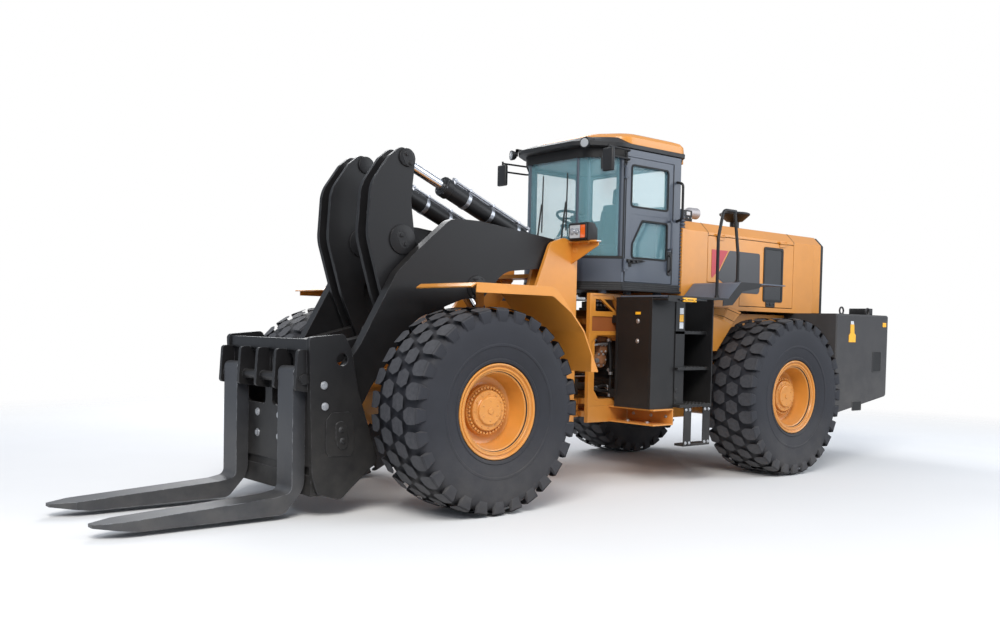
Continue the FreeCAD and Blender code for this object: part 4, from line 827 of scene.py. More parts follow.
# ---------------------------------------------------------------- wheels
@dataclass
class Wheel:
    """A loader tyre with block tread, on a rim with its planetary hub."""

    end: str
    hand: str
    pitches: int = 28
    studs: int = 36
    row: float = 0.084               # how far a row of blocks lies from the middle
    tip_highlight: tuple[float, float] = (0.845, 0.02)      # radius where the painted highlight on the block tips starts, and its depth

    @property
    def side(self) -> int:
        """1 on the left and -1 on the right."""
        return HANDS[self.hand]

    @property
    def centre(self) -> tuple[float, float, float]:
        """Middle of the wheel."""
        return AXLES[self.end], self.side * HALF_TRACK, TYRE_RADIUS

    @property
    def body(self) -> str:
        """Body that the wheel's pieces ride on."""
        return f"wheel_{self.end}_{self.hand}"

    def carcass(self, shape: Shape) -> None:
        """Adds the turned carcass with its sidewall ridges."""
        half = [(0.255, 0.335), (0.262, 0.405), (0.286, 0.418), (0.292, 0.440), (0.286, 0.446), (0.301, 0.490),
                (0.311, 0.545), (0.317, 0.551), (0.318, 0.566), (0.315, 0.572), (0.3215, 0.630), (0.3225, 0.690),
                (0.319, 0.740), (0.309, 0.782), (0.286, 0.812), (0.250, 0.829), (0.150, 0.836), (0.0, 0.838)]
        loop = half + [(-a, r) for a, r in reversed(half[:-1])]
        shape.turned(loop + [loop[0]], self.centre, (0, 1, 0), 112)

    def block(self, shape: Shape, corners: Sequence[tuple[float, float]], tip: Callable[[float], float],
              root: float, draft: float) -> list[bmesh.types.BMVert]:
        """Adds one tread block.

        Args:
            shape: Shape that takes the block.
            corners: Places round the tip as arc and width.
            tip: Tip radius by distance from the middle.
            root: How far the block reaches in from its tip.
            draft: How much wider the root is.

        Returns:
            The block's vertices.
        """
        bm = shape.bm
        face = bm.faces.new([bm.verts.new((s, w, tip(w))) for s, w in corners])
        middle = face.calc_center_median()
        rim = bmesh.ops.inset_region(bm, faces=[face], thickness=0.006, depth=0.0)
        for vert in face.verts:
            vert.co.z += 0.004
        outer = {v for f in rim["faces"] for v in f.verts} - set(face.verts)
        edges = [e for f in rim["faces"] for e in f.edges if all(v in outer for v in e.verts)]
        grown = bmesh.ops.extrude_edge_only(bm, edges=list(set(edges)))["geom"]
        skirt = [v for v in grown if isinstance(v, bmesh.types.BMVert)]
        for vert in skirt:
            away = Vector((vert.co.x - middle.x, vert.co.y - middle.y))
            vert.co.x += away.x * draft
            vert.co.y += away.y * draft
            vert.co.z -= root
        return list(face.verts) + list(outer) + skirt

    def paleness(self, radius: float) -> float:
        """How strong the painted highlight on a tread vertex is: 0 at the foot of the blocks and 1 at their tips."""
        start, depth = self.tip_highlight
        return max(0.0, min(1.0, (radius - start) / depth))

    def place(self, arc: float, width: float, radius: float) -> Vector:
        """Place on the wheel.

        Args:
            arc: Angle round the axle.
            width: Distance from the wheel's middle.
            radius: Distance from the axle.

        Returns:
            The place in the row's frame.
        """
        cx, cy, cz = self.centre
        return at(cx + radius * math.sin(arc), cy + width, cz + radius * math.cos(arc))

    def tread(self, shape: Shape) -> None:
        """Adds two rows of six-sided blocks and the shoulder lugs."""
        pitch = FULL_TURN / self.pitches
        tip_highlight = shape.bm.verts.layers.float["tip_highlight"]

        def tip(width: float) -> float:
            """Tip radius, lower towards the shoulder."""
            return TYRE_RADIUS - 0.0045 - 0.9 * max(0.0, abs(width) - 0.19) ** 2

        hexagon = [(-0.080, -0.012), (-0.046, -0.076), (0.046, -0.070), (0.080, 0.012), (0.046, 0.076),
                   (-0.046, 0.070)]
        lug = [(-0.030, 0.172), (0.034, 0.178), (0.070, 0.218), (0.072, 0.268), (0.068, 0.313), (-0.064, 0.313),
               (-0.070, 0.268), (-0.066, 0.222)]
        for sign, shift in ((-1, 0.0), (1, 0.5)):
            row = ([(s, w + sign * self.row) for s, w in hexagon], shift, 0.046, 0.05)
            edge = ([(s, sign * w) for s, w in lug], shift + 0.5, 0.052, 0.04)
            for corners, ahead, root, draft in (row, edge):
                for k in range(self.pitches):
                    for vert in self.block(shape, corners, tip, root, draft):
                        s, w, r = vert.co
                        vert[tip_highlight] = self.paleness(r)
                        vert.co = self.place((k + ahead) * pitch + s / TYRE_RADIUS, w, r)
        self.shoulder(shape, pitch, tip_highlight)

    def shoulder(self, shape: Shape, pitch: float, tip_highlight: object) -> None:
        """Adds the tapered ends of the lugs, which run down the sidewall.

        Args:
            shape: Shape that takes them.
            pitch: Angle from one lug to the next.
            tip_highlight: Layer that holds how near to the tips a vertex is.
        """
        bm = shape.bm
        stations = [(0.306, 0.860, 0.068), (0.3225, 0.846, 0.066), (0.3245, 0.812, 0.056), (0.3235, 0.770, 0.046)]
        inner = [(0.300, 0.800), (0.303, 0.795), (0.311, 0.776), (0.316, 0.752)]
        for sign, shift in ((-1, 0.5), (1, 1.0)):
            for k in range(self.pitches):
                turn = (k + shift) * pitch
                rings = []
                for (w, r, s), (wi, ri) in zip(stations, inner):
                    ring = []
                    for ds, width, radius in ((-s, wi, ri), (-s * 0.94, w, r), (s * 0.94, w, r), (s, wi, ri)):
                        vert = bm.verts.new(self.place(turn + ds / TYRE_RADIUS, sign * width, radius))
                        vert[tip_highlight] = self.paleness(radius)
                        ring.append(vert)
                    rings.append(ring)
                for first, second in zip(rings, rings[1:]):
                    edges = []
                    for ring in (first, second):
                        for pair in zip(ring, ring[1:] + ring[:1]):
                            edges.append(bm.edges.get(pair) or bm.edges.new(pair))
                    bmesh.ops.bridge_loops(bm, edges=edges)
                for ring in (rings[0], rings[-1]):
                    bm.faces.new(ring)

    def rim(self, shape: Shape) -> None:
        """Adds the flange rings, the dished disc, the hub and its studs."""
        s = self.side
        profile = [(-0.240, 0.300), (-0.240, 0.326), (-0.278, 0.330), (-0.278, 0.402), (-0.262, 0.402), (-0.258, 0.338),
                   (0.258, 0.338), (0.262, 0.400), (0.268, 0.406), (0.280, 0.404), (0.284, 0.396), (0.278, 0.386),
                   (0.264, 0.382), (0.262, 0.374), (0.270, 0.368), (0.270, 0.356), (0.262, 0.350), (0.246, 0.346),
                   (0.240, 0.340), (0.244, 0.332), (0.238, 0.322), (0.200, 0.316), (0.150, 0.306), (0.090, 0.296),
                   (0.070, 0.286), (0.062, 0.262), (0.062, 0.222), (0.066, 0.214), (0.110, 0.212), (0.116, 0.206),
                   (0.116, 0.180), (0.122, 0.174), (0.148, 0.172), (0.154, 0.164), (0.154, 0.128), (0.160, 0.122),
                   (0.172, 0.120), (0.177, 0.112), (0.177, 0.0)]
        shape.turned([(a * s, r) for a, r in profile], self.centre, (0, 1, 0), 96)
        back = [(0.030, 0.0), (0.030, 0.290), (-0.070, 0.298), (-0.240, 0.300)]
        shape.turned([(a * s, r) for a, r in back], self.centre, (0, 1, 0), 96)
        cx, cy, cz = self.centre
        circles = ((self.studs, 0.193, 0.116, 0.0105, 0.022), (12, 0.146, 0.154, 0.008, 0.008),
                   (6, 0.085, 0.177, 0.007, 0.006))
        for count, radius, depth, size, tall in circles:
            for up, ahead in around(count, radius):
                foot = Vector((cx + ahead, cy + s * (depth - 0.002), cz + up))
                shape.bar(foot, foot + Vector((0, s * tall, 0)), size, 8)
        shape.bar((cx, cy + s * 0.17, cz), (cx, cy + s * 0.184, cz), 0.03, 6)

    def build(self) -> None:
        """Builds both pieces of the wheel."""
        tyre = Shape()
        tyre.bm.verts.layers.float.new("tip_highlight")
        self.carcass(tyre)
        self.tread(tyre)
        tyre.object(f"tyre_{self.end}_{self.hand}_tread", self.body, Finishes.RUBBER, "tyre_rubber", 30.0,
                    [f"tyre_{self.end}_{self.hand}"])
        rim = Shape()
        self.rim(rim)
        rim.object(f"rim_{self.end}_{self.hand}_turned", self.body, Finishes.ORANGE, "yellow_paint", 28.0,
                   [f"rim_{self.end}_{self.hand}"])


# ---------------------------------------------------------------- front half
@dataclass
class WorkingGear:
    """Fine parts of the boom, the cranks, the tilt cylinders and the carriage."""

    arm_faces: tuple[float, float] = (0.46, 0.56)
    crank_outer: float = 0.445
    crank_inner: float = 0.235
    lift_eye: tuple[float, float] = (1.66, 1.94)
    crank_pivot: tuple[float, float] = (2.417, 2.337)
    crank_top: tuple[float, float] = (2.384, 3.065)
    crank_foot: tuple[float, float] = (2.33, 1.50)
    tilt_base: tuple[float, float] = (0.64, 2.34)
    tilt_half: float = 0.34          # distance of the tilt cylinders from the middle plane
    tilt_barrel: float = 1.39        # length of a tilt cylinder's barrel from its base pin

    def pin_lock(self, shape: Shape, x: float, z: float, face: float, side: int, turn: float = 0.0,
                 long: float = 0.085) -> None:
        """Adds a pin's lock plate with two bolts.

        Args:
            shape: Shape that takes it.
            x: Pin's place along X.
            z: Pin's height.
            face: Distance of the plate's seat from the middle plane.
            side: 1 on the left and -1 on the right.
            turn: Angle of the plate in degrees.
            long: Half length of the plate.
        """
        c, s = math.cos(math.radians(turn)), math.sin(math.radians(turn))
        wide = 0.05
        outline = []
        for out, v in around(16, wide):
            u = math.copysign(long - wide, out) + out
            outline.append((x + u * c - v * s, z + u * s + v * c))
        shape.plate(outline, "y", *span(side, face, face + 0.018))
        seat = side * (face + 0.018)
        shape.bolts([(x + u * c, seat, z + u * s) for u in (-0.045, 0.045)], (0, side, 0), 0.017, 0.014)

    def boom(self) -> None:
        """Bolted covers on the lift cylinders' pins."""
        shape = Shape()
        for side in (1, -1):
            face = self.arm_faces[1]
            x, z = self.lift_eye
            shape.turned([(0, 0.115), (side * 0.012, 0.112), (side * 0.016, 0.085), (side * 0.040, 0.080),
                          (side * 0.044, 0.072), (side * 0.044, 0.0)], (x, side * face, z), (0, 1, 0), 48)
            shape.bolts([(x + u, side * (face + 0.012), z + v) for u, v in around(6, 0.096)], (0, side, 0), 0.010,
                        0.008)
        shape.object("boom_pin_covers", "boom", Finishes.CHARCOAL, "charcoal_paint")

    def cranks(self) -> None:
        """Bosses and pin locks on the bell cranks."""
        shape = Shape()
        locks = Shape()
        for side in (1, -1):
            x, z = self.crank_pivot
            self.pin_lock(locks, x, z, self.crank_outer, side, 62.0)
            x, z = self.crank_top
            self.pin_lock(locks, x - 0.01, z - 0.01, self.crank_outer, side, 62.0, 0.075)
            for face in (self.crank_outer, self.crank_inner):
                sign = side if face == self.crank_outer else -side
                for centre, radius in ((self.crank_pivot, 0.135), (self.crank_foot, 0.09), (self.crank_top, 0.082)):
                    shape.turned([(0, radius), (sign * 0.014, radius - 0.004), (sign * 0.016, radius - 0.01),
                                  (sign * 0.016, 0.0)], (centre[0], side * face, centre[1]), (0, 1, 0), 40)
        shape.object("crank_bosses", "bell_cranks", Finishes.CHARCOAL, "charcoal_paint")
        locks.object("crank_pin_locks", "bell_cranks", Finishes.CHARCOAL, "charcoal_paint")

    def tilt_cylinders(self) -> None:
        """Glands, port blocks and steel lines along the tilt cylinders."""
        base = Vector((self.tilt_base[0], 0, self.tilt_base[1]))
        tip = Vector((self.crank_top[0], 0, self.crank_top[1]))
        run = (tip - base).normalized()
        across = Vector((-run.z, 0, run.x))
        gland, fittings = Shape(), Shape()
        for side in (1, -1):
            middle = Vector((0, side * self.tilt_half, 0))
            end = base + run * self.tilt_barrel + middle
            gland.bar(end - run * 0.075, end - run * 0.012, 0.096, 32)
            gland.bar(end - run * 0.014, end + run * 0.004, 0.066, 32)
            gland.bar(base + run * 0.24 + middle, base + run * 0.27 + middle, 0.090, 32)
            fittings.bolts([end - run * 0.012 + across * u + Vector((0, v, 0)) for u, v in around(8, 0.080, 0.2)], run,
                           0.010, 0.012)
            foot, top = across * 0.07, across * 0.105
            first, last = base + run * 0.30 + middle, base + run * 1.28 + middle
            for step in (-0.022, 0.023):
                aside = Vector((0, side * step, 0))
                fittings.tube([first + foot + aside, first + top + aside, last + top + aside, last + foot + aside],
                              0.012, 0.03)
            for share in (0.45, 0.8, 1.1):
                spot = base + run * share + middle
                fittings.bar(spot - run * 0.02, spot + run * 0.02, 0.0855, 32)
                fittings.bar(spot + top - Vector((0, 0.045, 0)), spot + top + Vector((0, 0.045, 0)), 0.016, 8)
            for end in (last, first):
                fittings.bar(end + foot, end + across * 0.13, 0.028, 6)
        gland.object("tilt_glands", "tilt_barrels", Finishes.CHARCOAL, "charcoal_paint")
        fittings.object("tilt_lines", "tilt_barrels", Finishes.PIPE, "silver_pipe")

    def carriage(self) -> None:
        """Lock plates with their bolts, the fork shaft's collars and the back plate's bolts."""
        shape = Shape()
        bolts = Shape()
        for side in (1, -1):
            self.pin_lock(shape, 3.19, 0.67, 0.765, side, 82.0, 0.115)
            shape.plate([(3.10, 0.50), (3.30, 0.50), (3.33, 0.54), (3.33, 0.80), (3.28, 0.86), (3.12, 0.86),
                         (3.07, 0.80), (3.07, 0.54)], "y", *span(side, 0.765, 0.773))
            bolts.bolts([(3.35, side * 0.765, 1.08), (3.34, side * 0.765, 0.91)], (0, side, 0), 0.024, 0.018)
            for edge in (0.37, 0.66):
                shape.bar((3.505, side * edge, 1.13), (3.505, side * (edge + 0.012), 1.13), 0.056, 32)
        for y in (-0.52, -0.20, 0.20, 0.52):
            bolts.bolts([(3.4497, y, 0.80), (3.4497, y, 0.62)], (1, 0, 0), 0.026, 0.016)
        shape.object("carriage_locks", "carriage", Finishes.CHARCOAL, "charcoal_paint")
        bolts.object("carriage_bolts", "carriage", Finishes.BOLT, "silver_pipe")

    def build(self) -> None:
        """Builds every piece of the working gear."""
        self.boom()
        self.cranks()
        self.tilt_cylinders()
        self.carriage()


@dataclass
class Headlights:
    """A pair of lamps with a clear and an amber part, on orange arms of the tower."""

    shelf: tuple[float, float, float, float] = (0.47, 0.57, 0.615, 1.0)     # along X, then along Y
    top: float = 2.445
    body: str = "front_frame"

    def arms(self) -> None:
        """Shelf and gusset that carry each lamp, with a white patch on each shelf's end that paints a highlight."""
        x0, x1, y0, y1 = self.shelf
        arm, tips = Shape(), Shape()
        outline = rounded([(x0, y0, 0.004), (x1, y0, 0.004), (x1, y1, 0.03), (x0, y1, 0.03)])
        arm.plate(outline, "z", self.top - 0.014, self.top)
        arm.plate([(y0, 2.226), (y1 - 0.012, 2.396), (y1 - 0.012, self.top - 0.013), (y0, self.top - 0.013)], "x",
                  0.506, 0.518)
        arm.soften(0.002)
        for y in (0.72, 0.87):
            arm.bar((0.535, y, self.top - 0.026), (0.535, y, self.top - 0.012), 0.013, 6)
        arm.turned([(0.0, 0.0), (0.0, 0.030), (0.004, 0.028), (0.005, 0.019), (0.001, 0.017), (0.001, 0.0)],
                   (0.518, 0.665, 2.36), (1, 0, 0), 28)
        arm.mirror_y().object("lamp_arm_plates", self.body, Finishes.ORANGE, "yellow_paint")
        # painted highlight: a white sheet on the outer end face of each shelf
        tips.block((x0 + 0.02, y1 - 0.0005, self.top - 0.013), (x1 - 0.02, y1 + 0.0015, self.top - 0.001))
        tips.mirror_y().object("lamp_arm_tip_highlights", self.body, Finishes.WHITE, "yellow_paint")

    def lamps(self) -> None:
        """Rims, clear reflectors and amber parts of both lamps."""
        rims, cups, clear, amber, housing = Shape(), Shape(), Shape(), Shape(), Shape()
        housing.plate(rounded([(0.470, 2.4455, 0.01), (0.600, 2.4455, 0.004), (0.600, 2.620, 0.004),
                               (0.520, 2.620, 0.04), (0.470, 2.560, 0.04)]), "y", 0.660, 0.930)
        housing.soften(0.006)
        housing.mirror_y().object("headlight_housings", self.body, Finishes.PLASTIC, "black_plastic", 40.0,
                                  ["headlights"])
        y0, y1, z0, z1 = front = (0.672, 0.918, 2.457, 2.608)
        split = y1 - 0.085
        rims.ring(frame_ring(*front, 0.0, 0.016), frame_ring(*front, -0.012, 0.010), "x", 0.6005, 0.6195)
        rims.block((0.601, split - 0.003, z0 + 0.008), (0.617, split + 0.003, z1 - 0.008))
        middle = (z0 + z1) / 2
        for y in (y0 + 0.048, split - 0.044):
            cups.turned([(0.0, 0.0), (0.0, 0.012), (0.0015, 0.018), (0.002, 0.034), (0.0035, 0.035), (0.0035, 0.030),
                         (0.0020, 0.008), (0.0045, 0.006), (0.0045, 0.0)], (0.6142, y, middle), (1, 0, 0), 28)
        clear.block((0.6140, y0 + 0.011, z0 + 0.011), (0.6165, split - 0.002, z1 - 0.011))
        for k in range(9):
            y = y0 + 0.018 + k * 0.0165
            clear.block((0.6160, y, z0 + 0.014), (0.6180, y + 0.005, z1 - 0.014))
        amber.block((0.6140, split + 0.002, z0 + 0.011), (0.6165, y1 - 0.011, z1 - 0.011))
        for k in range(7):
            z = z0 + 0.018 + k * 0.0175
            amber.block((0.6160, split + 0.006, z), (0.6180, y1 - 0.014, z + 0.006))
        rims.mirror_y().object("headlight_rims", self.body, Finishes.PLASTIC, "black_plastic")
        cups.mirror_y().object("headlight_cups", self.body, Finishes.CHROME, "chrome_rod")
        clear.mirror_y().object("headlight_lenses", self.body, Finishes.LENS, "clear_glass")
        amber.mirror_y().object("headlight_signals", self.body, Finishes.SIGNAL, "yellow_paint")

    def build(self) -> None:
        """Builds both arms with their lamps."""
        self.arms()
        self.lamps()


# ---------------------------------------------------------------- cab
@dataclass
class CabPlan:
    """Floor outline of the cab, as its outer face sees it."""

    rear: float = -0.95
    half: float = 0.75
    pillar: tuple[float, float] = (-0.06, 0.012)      # place along X and corner radius
    nose: tuple[float, float, float] = (0.25, 0.43, 0.12)

    def path(self, inset: float, start: float) -> list[tuple[float, float]]:
        """Walks round the front of the cab from the left to the right.

        Args:
            inset: How far in from the outer face.
            start: Place along X that the walk starts and ends at.

        Returns:
            Places along X and Y.
        """
        (px, pr), (nx, ny, nr) = self.pillar, self.nose
        left = [(self.rear, self.half - inset, 0.0), (px - inset * 0.4, self.half - inset, max(pr - inset, 0.004)),
                (nx - inset, ny - inset * 0.4, max(nr - inset, 0.01))]
        walk = rounded(both_sides(left), closed=False, steps=10)
        kept = []
        for (x0, y0), (x1, y1) in zip(walk, walk[1:]):
            if (x0 < start) != (x1 < start):
                kept.append((start, y0 + (y1 - y0) * (start - x0) / (x1 - x0)))
            if x1 >= start:
                kept.append((x1, y1))
        return kept

    def band(self, shape: Shape, low: float, high: float, inner: float, outer: float, start: float) -> None:
        """Adds a band that follows the outline.

        Args:
            shape: Shape that takes it.
            low: Lower edge.
            high: Upper edge.
            inner: Inset of its inner face.
            outer: Inset of its outer face.
            start: Place along X that it starts and ends at.
        """
        outline = self.path(outer, start) + list(reversed(self.path(inner, start)))
        shape.plate(outline, "z", low, high)


@dataclass
class Cab:
    """Seals, wipers, grips, seat, controls and mirrors of the cab."""

    plan: CabPlan = field(default_factory=CabPlan)
    sill: float = 2.33
    head: float = 3.44
    floor: float = 2.06
    door: tuple[float, float, float, float] = (-0.83, -0.10, 2.08, 3.36)
    panes: tuple[tuple[float, float, float, float], ...] = ((-0.745, -0.185, 2.86, 3.28), (-0.745, -0.185, 2.33, 2.78))
    body: str = "rear_frame"

    @property
    def half(self) -> float:
        """Half width over the side walls."""
        return self.plan.half

    def door_trim(self) -> None:
        """Seals, slanted filler, latch plate, pull bars and edge rubber of the door."""
        seals, filler, grips = Shape(), Shape(), Shape()
        y = self.half
        upper, lower = self.panes
        seals.ring(frame_ring(*upper, 0.012, 0.040), frame_ring(*upper, -0.006, 0.026), "y", y - 0.003, y + 0.006)
        x0, x1, z0, z1 = lower

        def slanted(grow: float) -> list[tuple[float, float]]:
            """Lower pane's outline with its slanted front edge, let out by an amount."""
            return rounded([(x0 - grow, z0 - grow, 0.030 + grow), (x1 - 0.020 + grow, z0 - grow, 0.030 + grow),
                            (x1 - 0.020 + grow, z0 + 0.14, 0.05), (x1 - 0.170 + grow * 0.8, z1 - 0.06 + grow, 0.03),
                            (x0 - grow, z1 - 0.06 + grow, 0.030 + grow)])

        filler.ring(rounded([(x0, z0, 0.03), (x1, z0, 0.03), (x1, z0 + 0.14, 0.02), (x1, z1, 0.03),
                             (x0, z1, 0.03)]), slanted(0.001), "y", y - 0.019, y - 0.0005)
        seals.ring(slanted(0.010), slanted(-0.010), "y", y - 0.004, y + 0.006)
        rear, front, low, high = self.door
        for x in (rear - 0.0015, front + 0.0015):
            seals.block((x - 0.005, y - 0.002, low), (x + 0.005, y + 0.004, high))
        seals.object("door_seals", "cab_door", Finishes.SEAL, "black_plastic")
        filler.object("door_filler", "cab_door", Finishes.SLATE, "slate_paint")
        x = rear + 0.042
        grips.plate(frame_ring(x - 0.032, x + 0.032, 2.17, 2.43, 0.0, 0.03), "y", y + 0.0005, y + 0.010)
        grips.tube([(x + 0.016, y + 0.004, 2.21), (x + 0.016, y + 0.042, 2.23), (x + 0.016, y + 0.042, 2.37),
                    (x + 0.016, y + 0.004, 2.39)], 0.010, 0.02)
        grips.turned([(0.0, 0.0), (0.0, 0.015), (0.008, 0.014), (0.010, 0.0)], (x - 0.010, y + 0.009, 2.40), (0, 1, 0),
                     20)
        inner = y - 0.068
        grips.tube([(x1 - 0.03, inner, z0 - 0.02), (x1 - 0.03, inner, z0 + 0.12), (x1 - 0.19, inner, z1 - 0.03),
                    (x0 + 0.02, inner, z1 - 0.02)], 0.013, 0.05)
        grips.tube([(x0 + 0.10, inner, z1 - 0.03), (x0 + 0.10, inner, z0 - 0.02)], 0.010, 0.02)
        grips.object("door_grips", "cab_door", Finishes.PLASTIC, "black_plastic")

    def shell(self) -> None:
        """Window seals, inner pillars, skirt, the door's latch and the grab loop behind it."""
        seals, inner = Shape(), Shape()
        edge, top = self.plan.pillar[0] + 0.015, self.head - 0.09
        self.plan.band(seals, self.sill - 0.020, self.sill + 0.008, 0.006, -0.003, edge - 0.018)
        self.plan.band(seals, top - 0.010, self.head - 0.001, 0.006, -0.004, edge - 0.018)
        for side in (1, -1):
            y0, y1 = span(side, self.half - 0.006, self.half + 0.004)
            seals.block((edge - 0.036, y0, self.sill - 0.02), (edge - 0.018, y1, self.head))
            pillar = Vector((self.plan.pillar[0], side * self.half, 0))
            nose = Vector((self.plan.nose[0], side * self.plan.nose[1], 0))
            for share, radius in ((0.10, 0.016), (0.80, 0.020)):
                foot = pillar.lerp(nose, share) - Vector((0.050, side * 0.045, 0))
                inner.bar(foot + Vector((0, 0, self.sill)), foot + Vector((0, 0, top)), radius, 16)
        pane = (self.plan.rear + 0.14, self.plan.pillar[0] - 0.09, self.sill, top)
        seals.ring(frame_ring(*pane, 0.020, 0.05), frame_ring(*pane, -0.010, 0.03), "y", -self.half - 0.006,
                   -self.half + 0.001)
        pane = (-0.63, 0.63, 2.84, top)
        seals.ring(frame_ring(*pane, 0.015, 0.05), frame_ring(*pane, -0.010, 0.03), "x", self.plan.rear - 0.005,
                   self.plan.rear + 0.001)
        seals.object("screen_seals", self.body, Finishes.SEAL, "black_plastic")
        inner.object("inner_pillars", self.body, Finishes.SLATE, "slate_paint")
        skirt = Shape()
        for k in range(4):
            out = 0.004 + 0.004 * k * k
            self.plan.band(skirt, 2.050 - k * 0.022, 2.073 - k * 0.022, 0.03, -out, self.plan.rear + 0.002)
        skirt.object("cab_skirt", self.body, Finishes.BLACK, "black_paint")
        latch = Shape()
        x, y = self.door[1] - 0.010, self.half
        latch.block((x - 0.085, y + 0.0005, 2.235), (x, y + 0.014, 2.310))
        latch.soften(0.004)
        latch.bar((x - 0.010, y + 0.024, 2.300), (x - 0.230, y + 0.030, 2.305), 0.009, 10)
        latch.bar((x - 0.030, y + 0.022, 2.262), (x - 0.270, y + 0.024, 2.300), 0.007, 10)
        for reach in (0.02, 0.09, 0.15):
            latch.bar((x - reach, y + 0.012, 2.285), (x - reach, y + 0.040, 2.285), 0.013, 6)
        latch.object("door_latch", "cab_door", Finishes.PLASTIC, "black_plastic")
        loop = Shape()
        x = self.plan.rear + 0.06
        loop.tube([(x, y, 2.76), (x, y + 0.085, 2.78), (x, y + 0.085, 3.16), (x, y, 3.18)], 0.014, 0.07)
        loop.object("rear_grab_loop", self.body, Finishes.BLACK, "black_paint")

    def duct(self) -> None:
        """The ribbed column at the cab's rear left corner."""
        shape = Shape()
        ribs = []
        count = 22
        for k in range(count):
            z = 0.03 + k * 0.036
            ribs += [(z, 0.056), (z + 0.008, 0.066), (z + 0.021, 0.066), (z + 0.030, 0.050)]
        shape.turned([(0.0, 0.0), (0.0, 0.058), *ribs, (count * 0.036 + 0.05, 0.056), (count * 0.036 + 0.10, 0.03),
                      (count * 0.036 + 0.10, 0.0)], (self.plan.rear - 0.075, self.half - 0.075, 2.02), (0, 0, 1), 32)
        shape.object("rear_duct", self.body, Finishes.SLATE, "slate_paint")

    def wipers(self) -> None:
        """Wipers in front of the windscreen and below its header."""
        shape = Shape()
        x = self.plan.nose[0]
        for y in (-0.18, 0.20):
            shape.bar((x - 0.01, y, 2.27), (x + 0.030, y, 2.27), 0.022, 16)
            shape.tube([(x + 0.028, y, 2.27), (x + 0.045, y + 0.01, 2.52), (x + 0.018, y + 0.04, 2.90)], 0.009, 0.05)
            shape.bar((x + 0.010, y + 0.04, 2.60), (x + 0.010, y + 0.05, 3.20), 0.007, 8)
        shape.tube([(0.10, 0.60, 3.38), (0.06, 0.67, 3.35), (-0.02, 0.765, 3.34), (-0.12, 0.775, 3.33)], 0.009, 0.03)
        shape.bar((0.115, 0.605, 3.38), (0.115, 0.605, 3.22), 0.011, 10)
        shape.object("wipers", self.body, Finishes.PLASTIC, "black_plastic")

    def seat(self) -> None:
        """Cushioned seat on its suspension box."""
        low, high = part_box("seat")
        rear = -0.76
        base = Shape()
        base.block((rear + 0.065, -0.175, low[2] + 0.002), (rear + 0.375, 0.175, 2.342))
        base.soften(0.012)
        for z in (2.12, 2.17, 2.22, 2.27):
            base.block((rear + 0.060, -0.179, z), (rear + 0.380, 0.179, z + 0.018))
        base.object("seat_box", self.body, Finishes.PLASTIC, "black_plastic")
        pads = Shape()
        pads.block((rear + 0.003, -0.245, 2.350), (rear + 0.495, 0.245, 2.478))
        for side in (1, -1):
            y0, y1 = span(side, 0.165, 0.247)
            pads.block((rear + 0.005, y0, 2.44), (rear + 0.47, y1, 2.505))
            pads.plate([(rear + 0.04, 2.50), (rear + 0.13, 2.50), (rear + 0.045, 2.93), (rear - 0.03, 2.95)], "y",
                       *span(side, 0.150, 0.237))
        pads.plate([(rear + 0.003, 2.46), (rear + 0.115, 2.46), (rear + 0.018, 2.995), (rear - 0.097, 2.995)], "y",
                   -0.236, 0.236)
        pads.plate([(rear - 0.088, 3.0), (rear - 0.012, 3.0), (rear - 0.032, 3.176), (rear - 0.108, 3.176)], "y",
                   -0.127, 0.127)
        pads.soften(0.022, 3)
        seat = pads.object("seat_pads", self.body, Finishes.FABRIC, "black_plastic", 40.0, ["seat"])
        LOG.info("seat from %.2f to %.2f m high", low[2], high[2])

    def controls(self) -> None:
        """Steering wheel, column, side console with its levers, and the dash."""
        wheel = Shape()
        centre, axis = Vector((-0.09, 0, 2.77)), Vector((-0.35, 0, 1)).normalized()
        wheel.turned(bead(0.015, 0.199, 12), centre, axis, 56)
        wheel.turned([(-0.03, 0.0), (-0.03, 0.045), (0.012, 0.052), (0.018, 0.04), (0.02, 0.0)], centre, axis, 32)
        side = axis.orthogonal().normalized()
        for k in range(3):
            spoke = Matrix.Rotation(FULL_TURN * k / 3, 3, axis) @ side
            wheel.bar(centre + spoke * 0.03, centre + spoke * 0.192, 0.012, 12, 0.009)
        wheel.turned([(0.0, 0.0), (0.0, 0.070), (0.06, 0.066), (0.22, 0.045), (0.68, 0.040), (0.70, 0.0)],
                     (-0.022, 0, 2.064), Vector((-0.07, 0, 0.68)), 24)
        wheel.object("steering_wheel", self.body, Finishes.PLASTIC, "black_plastic", 40.0)
        console = Shape()
        rear = -0.70
        console.plate([(rear, self.floor + 0.003), (rear + 0.50, self.floor + 0.003), (rear + 0.50, 2.50),
                       (rear + 0.40, 2.617), (rear, 2.617)], "y", -0.56, -0.33)
        console.soften(0.02, 3)
        for x in (rear + 0.38, rear + 0.30, rear + 0.22):
            console.bar((x, -0.44, 2.60), (x + 0.01, -0.44, 2.72), 0.008, 12)
            console.turned([(0.0, 0.0), (0.004, 0.016), (0.02, 0.022), (0.04, 0.016), (0.046, 0.0)],
                           (x + 0.01, -0.44, 2.715), (0, 0, 1), 16)
        console.object("side_console", self.body, Finishes.PLASTIC, "black_plastic", 40.0, ["controls"])
        dash = Shape()
        dash.plate([(0.02, 2.28), (0.12, 2.28), (0.12, 2.46), (0.05, 2.52), (0.0, 2.50)], "y", -0.24, 0.24)
        dash.soften(0.012)
        dash.bar((0.05, 0.0, self.floor), (0.05, 0.0, 2.30), 0.035, 16)
        dash.object("dash", self.body, Finishes.PLASTIC, "black_plastic")

